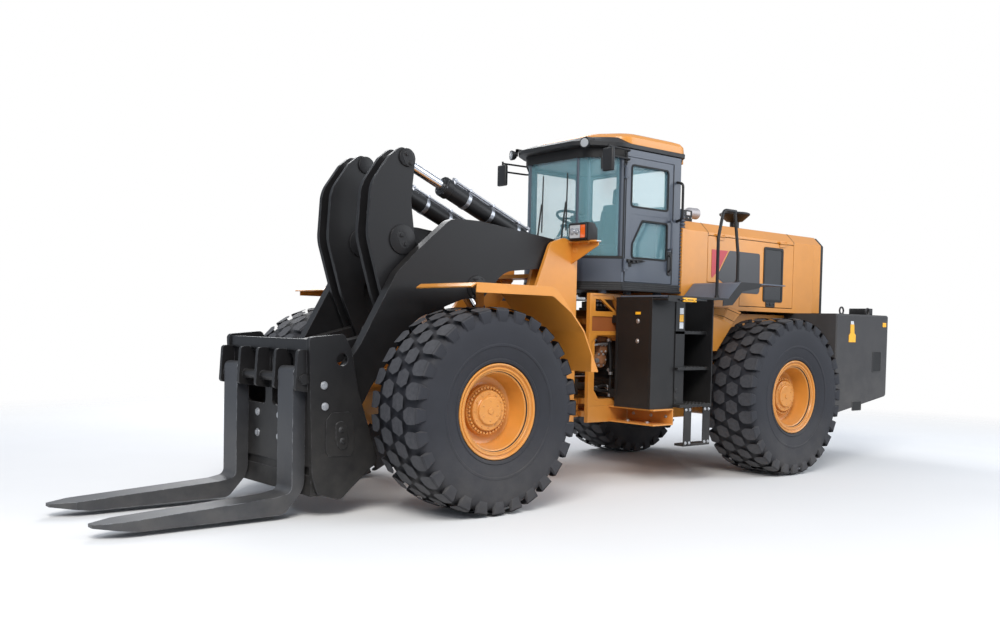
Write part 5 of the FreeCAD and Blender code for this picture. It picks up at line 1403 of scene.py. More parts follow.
    def mirrors(self) -> None:
        """Mirror heads with their arms."""
        shape, glass = Shape(), Shape()
        root, y0, z = self.plan.pillar[0] - 0.03, self.half + 0.001, self.head - 0.03
        x, y = root + 0.34, y0 + 0.085
        for level in (z, z - 0.09):
            shape.tube([(root, y0, level), (root, y0 + 0.06, level), (x, y, level)], 0.010, 0.03)
        shape.bar((root, y0 + 0.003, z - 0.12), (root, y0 + 0.003, z + 0.03), 0.016, 16)
        shape.bar((x, y, z - 0.20), (x, y, z + 0.02), 0.011, 16)
        heads = Shape()
        heads.plate(frame_ring(x - 0.022, x + 0.022, y - 0.075, y + 0.075, 0.0, 0.02, 4), "z", z - 0.25, z - 0.02)
        heads.soften(0.012, 3, 50)
        heads.mirror_y().object("mirror_heads", self.body, Finishes.PLASTIC, "black_plastic", 40.0)
        glass.block((x - 0.0232, y - 0.062, z - 0.235), (x - 0.0215, y + 0.062, z - 0.035))
        shape.mirror_y().object("mirror_arms", self.body, Finishes.BLACK, "black_paint", 40.0, ["mirrors"])
        glass.mirror_y().object("mirror_faces", self.body, Finishes.CHROME, "chrome_rod")

    def roof(self) -> None:
        """Orange roof slab over a dark brow that reaches out before the windscreen."""
        rear, front = self.plan.rear - 0.09, self.plan.nose[0] + 0.11
        side, nose = self.half + 0.008, self.plan.nose[1] + 0.06
        low = self.head + 0.0005

        def outline(out: float, ahead: float) -> list[tuple[float, float]]:
            """Plan of the brow, let out sideways and ahead."""
            return rounded(both_sides([(rear, side + out, 0.07), (self.plan.pillar[0] + 0.04, side + out, 0.30),
                                       (front + ahead, nose + out, 0.34)]), steps=10)

        brow = Shape()
        levels = ((low, -0.030, -0.030), (low + 0.012, -0.002, -0.004), (low + 0.052, 0.0, -0.002),
                  (low + 0.078, -0.030, -0.060), (low + 0.112, -0.060, -0.160))
        brow.loft([(z, outline(out, ahead)) for z, out, ahead in levels])
        brow.object("roof_brow", self.body, Finishes.PLASTIC, "black_plastic", 30.0, ["cab_roof"])
        slab = Shape()

        def cap(out: float, ahead: float) -> list[tuple[float, float]]:
            """Plan of the slab, let out sideways and ahead."""
            return rounded(both_sides([
                (rear - 0.001 - out, side + out, 0.10), (self.plan.pillar[0] - 0.02 + ahead, side + out, 0.24),
                (self.plan.nose[0] - 0.12 + ahead, nose - 0.04 + out, 0.30)]), steps=10)

        shapes = ((low + 0.045, -0.004, 0.0), (low + 0.060, 0.0, 0.0), (low + 0.125, -0.006, -0.02),
                  (low + 0.158, -0.030, -0.05), (low + 0.178, -0.080, -0.11), (low + 0.188, -0.150, -0.19))
        slab.loft([(z, cap(out, ahead)) for z, out, ahead in shapes])
        for y in (0.30, -0.30):
            slab.block((rear + 0.10, y - 0.05, low + 0.180), (-0.10, y + 0.05, low + 0.1892))
        slab.object("roof_slab", self.body, Finishes.ORANGE, "yellow_paint", 30.0)
        lip = Shape()
        lip.block((rear - 0.002, -side + 0.06, low - 0.045), (rear + 0.020, side - 0.06, low + 0.05))
        lip.soften(0.006)
        lip.object("roof_rear_lip", self.body, Finishes.ORANGE, "yellow_paint")

    def lamps(self) -> None:
        """Round work lamps that hang before the brow's corners, on feet on the brow."""
        lamps, lenses = Shape(), Shape()
        x, y, z = self.plan.nose[0] + 0.040, 0.560, self.head + 0.020
        aim = Vector((0.057, 0.020, 0)).normalized()
        for side in (1, -1):
            centre, way = (x, side * y, z), (aim.x, side * aim.y, 0)
            lamps.turned([(0.0, 0.0), (0.0, 0.030), (0.015, 0.045), (0.045, 0.053), (0.058, 0.054), (0.060, 0.050),
                          (0.054, 0.046), (0.050, 0.0)], centre, way, 32)
            lenses.turned([(0.050, 0.0), (0.0505, 0.044), (0.0575, 0.044), (0.0595, 0.02), (0.0600, 0.0)], centre, way,
                          32)
            y0, y1 = span(side, y - 0.030, y - 0.002)
            lamps.block((x - 0.110, y0, self.head + 0.058), (x + 0.008, y1, self.head + 0.090))
            lamps.block((x - 0.006, y0, z - 0.01), (x + 0.008, y1, self.head + 0.090))
        lamps.object("roof_lamps", self.body, Finishes.PLASTIC, "black_plastic", 40.0, ["work_lights"])
        lenses.object("roof_lamp_lenses", self.body, Finishes.LENS, "clear_glass")

    def build(self) -> None:
        """Builds every piece of the cab."""
        self.door_trim()
        self.shell()
        self.duct()
        self.wipers()
        self.seat()
        self.controls()
        self.mirrors()
        self.roof()
        self.lamps()


# ---------------------------------------------------------------- rear half
@dataclass
class Hood:
    """Panels, screens, seams and top gear of the engine hood."""

    half: float = 0.75
    top: float = 2.80
    chamfer: float = 0.11
    seams: tuple[float, float] = (-1.434, -3.076)
    screen: tuple[float, float, float, float] = (-2.846, -2.484, 1.962, 2.588)     # along X, then along Z
    hinges: tuple[float, float] = (-1.70, -2.90)     # along X
    body: str = "rear_frame"

    def panels(self) -> None:
        """Coloured panels, intake screen and lock on each door."""
        for hand, side in HANDS.items():
            body = f"hood_door_{hand}"

            def faces(lift: float, thick: float) -> tuple[float, float]:
                """Both faces of a sheet laid on the door's outer face."""
                return span(side, self.half + lift, self.half + lift + thick)

            dark = rounded([(-1.825, 2.510, 0.02), (-2.395, 2.510, 0.03), (-2.405, 2.035, 0.05), (-1.93, 2.035, 0.10),
                            (-1.60, 2.195, 0.03)])
            door = Shape()
            door.plate([(-3.072, 1.888), (-2.028, 1.888), (-2.028, 2.138), (-1.438, 2.138), (-1.438, 2.652),
                        (-3.072, 2.652)], "y", *span(side, self.half - 0.030, self.half))
            y0, y1 = span(side, self.half - 0.002, self.half + 0.010)
            for x in self.hinges:
                door.bar((x, side * (self.half + 0.012), 2.66), (x + 0.12, side * (self.half + 0.012), 2.66), 0.012, 20)
                door.block((x, y0, 2.616), (x + 0.12, y1, 2.652))
            door.object(f"hood_{hand}_panel", body, Finishes.ORANGE, "yellow_paint", 35.0, [body])
            Shape().plate(dark, "y", *faces(0.0005, 0.0025)).object(
                f"hood_{hand}_dark_panel", body, Finishes.DECAL_BLACK, "black_paint")
            red = [(-1.505, 2.505), (-1.795, 2.505), (-1.640, 2.285), (-1.520, 2.185), (-1.505, 2.21)]
            Shape().plate(red, "y", *faces(0.0005, 0.0025)).object(
                f"hood_{hand}_red_panel", body, Finishes.DECAL_RED, "yellow_paint")
            inner = frame_ring(*self.screen, -0.016, 0.02)
            Shape().ring(frame_ring(*self.screen, 0.012, 0.03), inner, "y", *faces(0.0005, 0.0085)).object(
                f"hood_{hand}_screen_frame", body, Finishes.BLACK, "black_paint")
            Shape().plate(inner, "y", *faces(0.0008, 0.0022)).object(
                f"hood_{hand}_screen", body, Finishes.SCREEN, "black_paint")
            lock = Shape()
            lock.plate(frame_ring(-2.71, -2.53, 1.888, 1.962, 0.0, 0.012), "y", *faces(0.0005, 0.006))
            for x, size in ((-2.62, 0.020), (-2.685, 0.008), (-2.555, 0.008)):
                lock.turned([(0.0, 0.0), (0.0, size), (side * 0.010, size * 0.9), (side * 0.012, 0.0)],
                            (x, side * (self.half + 0.005), 1.925), (0, 1, 0), 24)
            lock.object(f"hood_{hand}_lock", body, Finishes.PLASTIC, "black_plastic")

    def lines(self) -> None:
        """Seams that run over the chamfers and the top."""
        seams = Shape()
        low, lift = self.half - self.chamfer, 0.0012
        for x in self.seams:
            for side in (1, -1):
                outline = [(side * (self.half + lift), 2.665), (side * (self.half + lift), self.top - self.chamfer),
                           (side * (low + lift), self.top + lift), (side * low, self.top - 0.002),
                           (side * (self.half - 0.002), self.top - self.chamfer - 0.001),
                           (side * (self.half - 0.002), 2.665)]
                seams.plate(outline, "x", x - 0.004, x + 0.004)
            seams.block((x - 0.004, -low, self.top - 0.002), (x + 0.004, low, self.top + lift))
        seams.object("hood_seams", self.body, Finishes.SEAL, "black_plastic")

    def top_gear(self) -> None:
        """Exhaust elbow, the bolted box, the air cleaner's bands and the intake funnel."""
        pipe = Shape()
        low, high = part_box("exhaust")
        y0, x0, level = (low[1] + high[1]) / 2, -1.62, 2.96
        bend = [(x0, y0, low[2] + 0.001), (x0, y0, level), (-1.80, y0, level)]
        pipe.tube(bend, 0.0645, 0.13, 10)
        pipe.turned([(0.0, 0.0), (0.0, 0.065), (0.012, 0.0655), (0.014, 0.0)], (x0, y0, low[2] + 0.001), (0, 0, 1), 40)
        pipe.turned([(0.0, 0.050), (0.0, 0.0655), (0.030, 0.0655), (0.030, 0.060), (0.004, 0.058), (0.004, 0.050)],
                    (-1.80 - 0.0005, y0, level), (1, 0, 0), 40)
        pipe.object("exhaust_elbow", self.body, Finishes.DULL_STEEL, "silver_pipe", 40.0, ["exhaust"])
        box, plates = Shape(), Shape()
        box.block((-1.545, -0.42, self.top + 0.001), (-1.325, 0.42, 2.962))
        box.soften(0.008)
        box.object("top_cover", self.body, Finishes.BLACK, "black_paint")
        for x in (-1.36, -1.475):
            plates.block((x - 0.032, 0.4203, 2.905), (x + 0.032, 0.4218, 2.945))
        plates.object("top_cover_plates", self.body, Finishes.WHITE, "black_paint")
        studs = Shape()
        studs.bolts([(x, 0.4205, z) for x in (-1.36, -1.475, -1.53) for z in (2.82, 2.875)], (0, 1, 0), 0.006, 0.004)
        studs.object("top_cover_bolts", self.body, Finishes.BOLT, "silver_pipe")
        bands = Shape()
        for z in (2.825, 2.885):
            bands.turned([(0.0, 0.0885), (0.0, 0.0905), (0.004, 0.0925), (0.016, 0.0925), (0.020, 0.0905),
                          (0.020, 0.0885)], (-1.75, -0.25, z), (0, 0, 1), 48)
        bands.object("intake_bands", self.body, Finishes.PIPE, "silver_pipe")
        funnel = Shape()
        funnel.turned([(0.0, 0.0), (0.0, 0.075), (0.008, 0.073), (0.010, 0.056), (0.120, 0.056), (0.128, 0.100),
                       (0.205, 0.185), (0.222, 0.186), (0.232, 0.165), (0.240, 0.0)], (-2.50, 0.28, self.top + 0.0008),
                      (0, 0, 1), 56)
        funnel.object("intake_funnel", self.body, Finishes.BLACK, "black_paint")

    def rear(self) -> None:
        """Collar that carries the hood back to the framed slats at its rear end."""
        start, end, low = -3.4995, -3.66, 1.84

        def section(inset: float) -> list[tuple[float, float]]:
            """Hood section along Y and Z, drawn in."""
            half, top, cut = self.half - inset, self.top - inset, self.chamfer - inset * 0.5
            return rounded([(-half, low, 0.004), (half, low, 0.004), (half, top - cut, 0.02), (half - cut, top, 0.02),
                            (-half + cut, top, 0.02), (-half, top - cut, 0.02)])

        collar = Shape()
        collar.ring(section(0.0), section(0.030), "x", end, start)
        collar.object("hood_rear_collar", self.body, Finishes.ORANGE, "yellow_paint")
        grille = Shape()
        grille.ring(section(0.006), section(0.075), "x", end - 0.060, end - 0.001)
        for k in range(17):
            z = low + 0.090 + k * 0.048
            grille.plate([(end - 0.050, z), (end - 0.012, z + 0.020), (end - 0.008, z + 0.016),
                          (end - 0.046, z - 0.004)], "y", -0.680, 0.680)
        for y in (-0.34, 0.0, 0.34):
            grille.block((end - 0.030, y - 0.012, low + 0.07), (end - 0.012, y + 0.012, self.top - 0.07))
        grille.object("rear_slats", self.body, Finishes.BLACK, "black_paint", 35.0, ["rear_grille"])

    def build(self) -> None:
        """Builds every piece of the hood."""
        self.panels()
        self.lines()
        self.top_gear()
        self.rear()


@dataclass
class RearFrame:
    """Pump, valve block and rigid pipes behind the frame's openings, and the box brackets."""

    plate: float = 0.60
    valves: tuple[float, ...] = (0.14, 0.09, 0.035, -0.02, -0.075)      # along X
    body: str = "rear_frame"

    def pump(self) -> None:
        """Cast pump with its flange and bolts behind the service opening."""
        cast, bolts = Shape(), Shape()
        cast.turned([(-0.13, 0.0), (-0.13, 0.040), (-0.10, 0.045), (-0.10, 0.062), (-0.06, 0.066), (-0.055, 0.080),
                     (0.0, 0.084), (0.010, 0.078), (0.014, 0.050), (0.028, 0.046), (0.030, 0.020), (0.034, 0.0)],
                    (-0.03, 0.50, 1.262), (0.10, 1, 0.05), 40)
        cast.plate(rounded([(-0.125, 1.330, 0.02), (-0.005, 1.330, 0.02), (-0.020, 1.440, 0.03),
                            (-0.110, 1.440, 0.03)]), "y", 0.40, 0.515)
        cast.soften(0.004)
        cast.turned([(0.0, 0.0), (0.0, 0.034), (0.10, 0.034), (0.104, 0.026), (0.106, 0.0)], (-0.14, 0.47, 1.470),
                    (1, 0, 0.05), 24)
        bolts.bolts([(-0.03 + u, 0.514, 1.262 + v) for u, v in around(6, 0.066)], (0.10, 1, 0.05), 0.009, 0.010)
        bolts.bolts([(-0.095, 0.516, 1.350), (-0.035, 0.516, 1.350), (-0.090, 0.516, 1.415), (-0.040, 0.516, 1.415)],
                    (0, 1, 0), 0.009, 0.009)
        cast.mirror_y().object("service_pump", self.body, Finishes.RUST, "cast_iron", 40.0)
        bolts.mirror_y().object("service_pump_bolts", self.body, Finishes.BOLT, "silver_pipe")

    def pipes(self) -> None:
        """Rigid black and plated pipes across the service opening and the top window."""
        dark, bright, blocks = Shape(), Shape(), Shape()
        runs = (
            [(-0.20, 0.46, 0.92), (-0.12, 0.50, 0.93), (-0.02, 0.52, 0.94), (0.05, 0.50, 0.97), (0.10, 0.44, 0.98)],
            [(-0.20, 0.44, 0.97), (-0.10, 0.48, 0.99), (0.00, 0.47, 0.965)],
            [(0.12, 0.42, 1.22), (0.145, 0.46, 1.34), (0.12, 0.50, 1.46)],
            [(0.085, 0.44, 1.22), (0.11, 0.49, 1.36), (0.06, 0.50, 1.47)],
            [(-0.17, 0.50, 1.46), (-0.185, 0.52, 1.25), (-0.165, 0.52, 1.02), (-0.185, 0.50, 0.89)],
            [(-0.13, 0.52, 1.47), (-0.145, 0.54, 1.30), (-0.15, 0.54, 1.12)],
        )
        for run in runs:
            dark.tube(run, 0.016, 0.05)
            for end, first, last in ((run[0], run[0], run[1]), (run[-1], run[-2], run[-1])):
                half = (Vector(last) - Vector(first)).normalized() * 0.014
                bright.bar(Vector(end) - half, Vector(end) + half, 0.023, 6)
        bright.tube([(0.14, 0.49, 1.405), (0.02, 0.53, 1.425), (-0.10, 0.53, 1.43)], 0.013, 0.03)
        bright.bar((0.035, 0.50, 1.255), (0.035, 0.535, 1.255), 0.024, 6)
        bright.bar((-0.15, 0.50, 1.155), (-0.15, 0.54, 1.155), 0.018, 6)
        for x in self.valves:
            blocks.block((x - 0.021, 0.40, 1.80), (x + 0.021, 0.50, 1.865))
        blocks.block((-0.15, 0.38, 1.775), (0.18, 0.51, 1.80))
        blocks.soften(0.004)
        for k, x in enumerate(self.valves):
            bright.bar((x, 0.452, 1.865), (x, 0.452, 1.885), 0.017, 6)
            dark.tube([(x, 0.452, 1.88), (x, 0.452, 1.905), (x - 0.03, 0.40 - 0.01 * k, 1.925),
                       (x - 0.03, 0.30, 1.925)], 0.011, 0.02)
            bright.bar((x, 0.50, 1.832), (x, 0.512, 1.832), 0.012, 6)
        dark.mirror_y().object("service_pipes", self.body, Finishes.BLACK, "black_paint", 40.0)
        bright.mirror_y().object("service_fittings", self.body, Finishes.BOLT, "silver_pipe")
        blocks.mirror_y().object("valve_bank", self.body, Finishes.BLACK, "black_paint")

    def cover(self) -> None:
        """Doubler plate with chamfered openings, laid over the side plate, and its brace."""
        plate = Shape()
        face, thick = self.plate + 0.0004, 0.010
        x0, x1, y = -0.300, 0.2395, (face, face + thick)
        service = [(-0.222, 0.920), (-0.150, 0.845), (0.135, 0.845), (0.205, 0.920), (0.205, 1.445), (0.135, 1.520),
                   (-0.150, 1.520), (-0.222, 1.445)]
        outer = [(x0, 0.880), (x0, 0.790), (x1, 0.790), (x1, 0.880), (x1, 1.480), (x1, 1.540), (x0, 1.540), (x0, 1.480)]
        plate.ring(outer, service, "y", *y)
        plate.block((x0, y[0], 0.6215), (x1, y[1], 0.789))
        plate.block((0.205, y[0], 1.541), (x1, y[1], 1.949))
        plate.block((x0, y[0], 1.541), (0.204, y[1], 1.562))
        plate.block((x0, y[0], 1.563), (-0.268, y[1], 1.949))
        plate.block((-0.267, y[0], 1.713), (0.204, y[1], 1.765))
        plate.plate([(-0.267, 1.766), (-0.235, 1.766), (-0.095, 1.930), (-0.095, 1.949), (-0.267, 1.949)], "y", *y)
        plate.block((-0.094, y[0], 1.930), (0.204, y[1], 1.949))
        plate.plate([(-0.150, 1.766), (-0.105, 1.766), (0.135, 1.929), (0.090, 1.929)], "y", self.plate - 0.025, face)
        plate.mirror_y().object("frame_cover", self.body, Finishes.ORANGE, "yellow_paint")

    def recess(self) -> None:
        """Darker orange sheet that paints the shade in the closed recess, and black brackets at the plate's rear edge.
        """
        # painted shade: a darker orange sheet laid on the recess wall
        recess_shade = Shape()
        recess_shade.block((-0.267, 0.6004, 1.563), (0.2035, 0.6018, 1.7125))
        recess_shade.mirror_y().object("recess_painted_shade", self.body, Finishes.SHADE_ORANGE, "yellow_paint")
        brackets, bolts = Shape(), Shape()
        for low, high in ((0.885, 1.065), (1.510, 1.690)):
            brackets.block((-0.350, self.plate + 0.0004, low), (-0.301, self.plate + 0.012, high))
            bolts.bolts([(-0.325, self.plate + 0.012, z) for z in (low + 0.035, high - 0.035)], (0, 1, 0), 0.015, 0.012)
        brackets.soften(0.002)
        brackets.mirror_y().object("box_brackets", self.body, Finishes.BLACK, "black_paint")
        bolts.mirror_y().object("box_bracket_bolts", self.body, Finishes.BOLT, "silver_pipe")

    def hinge(self) -> None:
        """Bolts of the hinge pins' caps."""
        bolts = Shape()
        for z in (0.845, 1.705):
            bolts.bolts([(x, y, z) for x, y in around(6, 0.062)], (0, 0, 1), 0.011, 0.010)
        bolts.object("hinge_cap_bolts", self.body, Finishes.BOLT, "silver_pipe")

    def build(self) -> None:
        """Builds every piece of the rear frame."""
        self.pump()
        self.pipes()
        self.cover()
        self.recess()
        self.hinge()


@dataclass
class SideGear:
    """Locks, plates, treads, fender edges and guards beside the cab."""

    box: tuple[float, float, float, float] = (-0.40, -0.05, 0.70, 1.20)     # along X, then along Y
    deck: float = 1.93
    edge: tuple[float, float] = (1.4005, 1.408)      # both faces of the fender's flange
    body: str = "rear_frame"

    def boxes(self) -> None:
        """Door seam, locks and blank plates on the front of each box."""
        seams, locks, slot_shade, plates, white = Shape(), Shape(), Shape(), Shape(), Shape()
        front = self.box[1]
        edges = (0.725, 1.178, 0.815, 1.885)
        seams.ring(frame_ring(*edges, 0.0, 0.02), frame_ring(*edges, -0.005, 0.015), "x", front + 0.0003,
                   front + 0.0022)
        for z in (1.672, 1.470):
            locks.turned([(0.0, 0.0), (0.0, 0.024), (0.004, 0.023), (0.006, 0.014), (0.011, 0.012), (0.012, 0.0)],
                         (front + 0.0003, 1.01, z), (1, 0, 0), 28)
            # painted shade: a thin black sheet on each lock's face stands for its key slot
            slot_shade.block((front + 0.012, 1.007, z - 0.006), (front + 0.013, 1.013, z + 0.006))
        plates.block((front + 0.0003, 0.975, 1.738), (front + 0.0020, 1.045, 1.765))
        for z0, z1, shape in ((1.752, 1.815, white), (1.676, 1.748, plates), (1.605, 1.670, white)):
            shape.block((-0.515, 1.2103, z0), (-0.455, 1.2118, z1))
        seams.mirror_y().object("box_door_edges", self.body, Finishes.SEAL, "black_plastic")
        locks.mirror_y().object("box_locks", self.body, Finishes.BOLT, "silver_pipe")
        slot_shade.mirror_y().object("box_lock_slot_shade", self.body, Finishes.SEAL, "black_plastic")
        plates.mirror_y().object("box_plates", self.body, Finishes.AMBER, "black_paint")
        white.mirror_y().object("box_blank_plates", self.body, Finishes.WHITE, "black_paint")

    def carriers(self) -> None:
        """Orange channels that carry the boxes, with their bolts, and the cheek plates beside the stairs."""
        shape, bolts = Shape(), Shape()
        x0, x1, y0, y1 = -0.36, -0.06, 0.6106, 1.24
        shape.block((x0, y0, 0.624), (x1, y1, 0.638))
        shape.block((x0, y0, 0.775), (x1, y1, 0.7892))
        shape.block((x0, y0, 0.638), (x0 + 0.012, y1, 0.775))
        bolts.bolts([(-0.18, y, 0.638) for y in (0.78, 1.05)], (0, 0, 1), 0.018, 0.016)
        bolts.bolts([(x0 + 0.012, y, 0.705) for y in (0.70, 0.95, 1.15)], (1, 0, 0), 0.014, 0.012)
        cheek = Shape()
        cheek.block((-0.5400, 1.196, 0.832), (-0.4006, 1.210, 1.914))
        for z in (0.88, 0.97):
            cheek.turned([(0.0, 0.0), (0.0, 0.020), (0.006, 0.018), (0.008, 0.0)], (-0.43, 1.2095, z), (0, 1, 0), 20)
        cheek.mirror_y().object("stair_cheeks", self.body, Finishes.BLACK, "black_paint")
        shape.mirror_y().object("box_carriers", self.body, Finishes.ORANGE, "yellow_paint")
        bolts.mirror_y().object("box_carrier_bolts", self.body, Finishes.BOLT, "silver_pipe")

    def stairs(self) -> None:
        """Gripping teeth on the treads and strap bolts."""
        teeth, bolts = Shape(), Shape()
        tooth = [(0.0, 0.0), (0.0, 0.016), (0.007, 0.012), (0.007, 0.008), (0.003, 0.007), (0.003, 0.0)]
        for z, outer in ((1.208, 1.25), (1.578, 1.21), (0.830, 1.29)):
            rows = [outer - 0.020 - k * 0.045 for k in range(8)]
            for y in (row for row in rows if row >= 0.86):
                for x in (-0.86, -0.80, -0.74, -0.68, -0.62, -0.56):
                    teeth.turned(tooth, (x, y, z), (0, 0, 1), 10)
        bolts.bolts([(x, 1.286, z) for x in (-0.865, -0.805, -0.565, -0.505) for z in (0.435, 0.775)], (0, 1, 0),
                    0.012, 0.010)
        teeth.mirror_y().object("tread_teeth", self.body, Finishes.BLACK, "black_paint")
        bolts.mirror_y().object("ladder_bolts", self.body, Finishes.BOLT, "silver_pipe")

    def fenders(self) -> None:
        """Black flange along the outer edge, and the bar and latch at the deck's front."""
        flange, latch, bar = Shape(), Shape(), Shape()
        top = [(-0.905, self.deck), (-1.000, self.deck), (-1.185, 2.096), (-1.215, 2.110), (-1.52, 2.110),
               (-1.56, 2.098)]
        low = [(-1.52, 2.060), (-1.225, 2.010), (-1.060, 1.862), (-0.905, 1.850)]
        flange.plate(top + low, "y", *self.edge)
        flange.plate([(-0.051, self.deck), (-0.405, self.deck), (-0.405, 1.862), (-0.051, 1.872)], "y", *self.edge)
        flange.plate([(-0.405, self.deck), (-0.905, self.deck), (-0.905, 1.908), (-0.405, 1.908)], "y", *self.edge)
        bar.bar((-0.064, 1.201, 1.893), (-0.064, 1.388, 1.893), 0.013, 20)
        bar.bar((-0.064, 1.388, 1.893), (-0.064, 1.398, 1.893), 0.013, 20, 0.007)
        bar.bar((-0.20, 1.418, 1.893), (-0.62, 1.418, 1.893), 0.009, 16)
        latch.block((-0.46, 1.4085, 1.872), (-0.26, 1.4255, 1.914))
        latch.soften(0.004)
        latch.bolts([(-0.30, 1.4255, 1.893), (-0.42, 1.4255, 1.893)], (0, 1, 0), 0.010, 0.008)
        flange.mirror_y().object("fender_flanges", self.body, Finishes.BLACK, "black_paint")
        bar.mirror_y().object("deck_bars", self.body, Finishes.BLACK, "black_paint")
        latch.mirror_y().object("deck_latches", self.body, Finishes.AMBER, "yellow_paint")

    def guards(self) -> None:
        """Orange sloped plates between the hood and the rear tyres' fronts."""
        shape, seams = Shape(), Shape()
        inner = [(-1.10, 0.772, 1.852), (-1.80, 0.772, 1.868), (-2.04, 0.772, 1.812)]
        outer = [(-1.08, 1.000, 1.790), (-1.42, 1.000, 1.718), (-1.60, 0.985, 1.668)]
        for (a, b), (c, d) in zip(zip(inner, inner[1:]), zip(outer, outer[1:])):
            shape.slab([a, b, d, c], 0.008)
        shape.plate([(-1.08, 1.788), (-1.42, 1.716), (-1.60, 1.666), (-1.335, 1.370), (-1.08, 1.370)], "y",
                    0.985, 0.995)
        shape.plate([(0.772, 1.850), (0.994, 1.788), (0.994, 1.372), (0.772, 1.372)], "x", -1.088, -1.080)
        for share in (0.18, 0.80):
            run = [Vector(a).lerp(Vector(b), share) + Vector((0, 0, 0.0022)) for a, b in zip(inner, outer)]
            for first, second in zip(run, run[1:]):
                seams.bar(first, second, 0.0028, 8)
        shape.mirror_y().object("tyre_guards", self.body, Finishes.ORANGE, "yellow_paint")
        seams.mirror_y().object("tyre_guard_seams", self.body, Finishes.SEAL, "black_plastic")

    def rails(self) -> None:
        """Feet and collars of the handrails."""
        feet = Shape()
        for x, z in ((-0.93, self.deck + 0.001), (-1.27, 2.111)):
            feet.turned([(0.0, 0.0), (0.0, 0.042), (0.006, 0.040), (0.008, 0.024), (0.030, 0.021), (0.030, 0.0)],
                        (x, 1.30, z), (0, 0, 1), 24)
        feet.mirror_y().object("rail_feet", self.body, Finishes.BLACK, "black_paint")

    def build(self) -> None:
        """Builds every piece beside the cab."""
        self.boxes()
        self.carriers()
        self.stairs()
        self.fenders()
        self.guards()
        self.rails()


@dataclass
class Counterweight:
    """Cast block with its pockets, reflectors, lifting eyes and tail lamps."""

    half: float = 1.35
    rear: float = -4.73
    top: float = 1.83
    body: str = "rear_frame"

    def casting(self) -> None:
        """Cast block with rounded corners, a bottom that rises to the rear, and side pockets."""
        front, corner, rear, inner = -3.13, -4.30, self.rear, 0.980
        plan = rounded(both_sides([(front, self.half, 0.02), (corner, self.half, 0.12), (rear, inner, 0.12)]), steps=8)

        def bottom(x: float) -> float:
            """Height of the underside at a place along X."""
            share = max(0.0, (-3.82 - x) / (-3.82 - rear))
            return 0.640 + 0.43 * share ** 1.25

        shape = Shape()
        levels = ([(x, y, bottom(x)) for x, y in plan], [(x, y, self.top - 0.02) for x, y in plan],
                  [(x * 0.996 - 0.016, y * 0.988, self.top) for x, y in plan])
        shape.skin([[shape.bm.verts.new(at(*spot)) for spot in level] for level in levels], capped=True)
        shape.object("weight_casting", self.body, Finishes.CAST_GREY, "dark_grey_paint", 35.0, ["counterweight"])

    def pockets(self) -> None:
        """Lifting pockets and the slots below them, as raised rims round flat black sheets that paint the shade of the
        hollows.
        """
        rims, pocket_shade = Shape(), Shape()
        for x0, x1, z0, z1 in ((-4.140, -3.960, 1.130, 1.370), (-3.710, -3.520, 0.665, 0.765)):
            rims.ring(frame_ring(x0, x1, z0, z1, 0.010, 0.016), frame_ring(x0, x1, z0, z1, 0.0, 0.010), "y",
                      self.half + 0.0004, self.half + 0.004)
            # painted shade: a flat black sheet stands for the hollow of each pocket
            pocket_shade.plate(frame_ring(x0, x1, z0, z1, 0.0, 0.010), "y", self.half + 0.0004, self.half + 0.0014)
        rims.mirror_y().object("weight_pocket_rims", self.body, Finishes.CAST_GREY, "dark_grey_paint")
        pocket_shade.mirror_y().object("weight_pocket_shade", self.body, Finishes.SEAL, "black_plastic")

    def plates(self) -> None:
        """Side reflectors on the flanks."""
        amber, white = Shape(), Shape()
        y = (self.half + 0.0005, self.half + 0.0045)
        amber.plate([(-3.545, 1.490), (-3.395, 1.490), (-3.395, 1.575), (-3.425, 1.600), (-3.425, 1.705),
                     (-3.505, 1.705), (-3.515, 1.600), (-3.545, 1.575)], "y", *y)
        white.plate([(-3.500, 1.706), (-3.430, 1.706), (-3.430, 1.745), (-3.490, 1.745)], "y", *y)
        amber.plate(frame_ring(-4.245, -4.165, 1.684, 1.738, 0.0, 0.006), "y", *y)
        amber.mirror_y().object("weight_reflectors", self.body, Finishes.AMBER, "yellow_paint")
        white.mirror_y().object("weight_plates", self.body, Finishes.WHITE, "yellow_paint")

    def top_gear(self) -> None:
        """Lifting eyes and tail lamps on the top face."""
        eyes, lamps, lenses = Shape(), Shape(), Shape()
        for x in (-3.62, -4.22):
            eyes.turned(bead(0.011, 0.042, 10), (x, 1.10, self.top + 0.046), (0, 1, 0), 28)
            eyes.turned([(0.0, 0.0), (0.0, 0.034), (0.010, 0.032), (0.014, 0.014), (0.014, 0.0)], (x, 1.10, self.top),
                        (0, 0, 1), 24)
        x = self.rear + 0.12
        lamps.block((x - 0.045, 0.62, self.top), (x + 0.045, 0.92, self.top + 0.10))
        lamps.soften(0.008)
        lenses.block((x - 0.050, 0.635, self.top + 0.014), (x - 0.0455, 0.735, self.top + 0.086))
        lenses.block((x - 0.050, 0.740, self.top + 0.014), (x - 0.0455, 0.905, self.top + 0.086))
        lenses.soften(0.002)
        eyes.mirror_y().object("lifting_eyes", self.body, Finishes.CAST_GREY, "dark_grey_paint")
        lamps.mirror_y().object("tail_lamps", self.body, Finishes.PLASTIC, "black_plastic")
        lenses.mirror_y().object("tail_lenses", self.body, Finishes.RED_LENS, "clear_glass")

    def build(self) -> None:
        """Builds every piece of the counterweight."""
        self.casting()
        self.pockets()
        self.plates()
        self.top_gear()


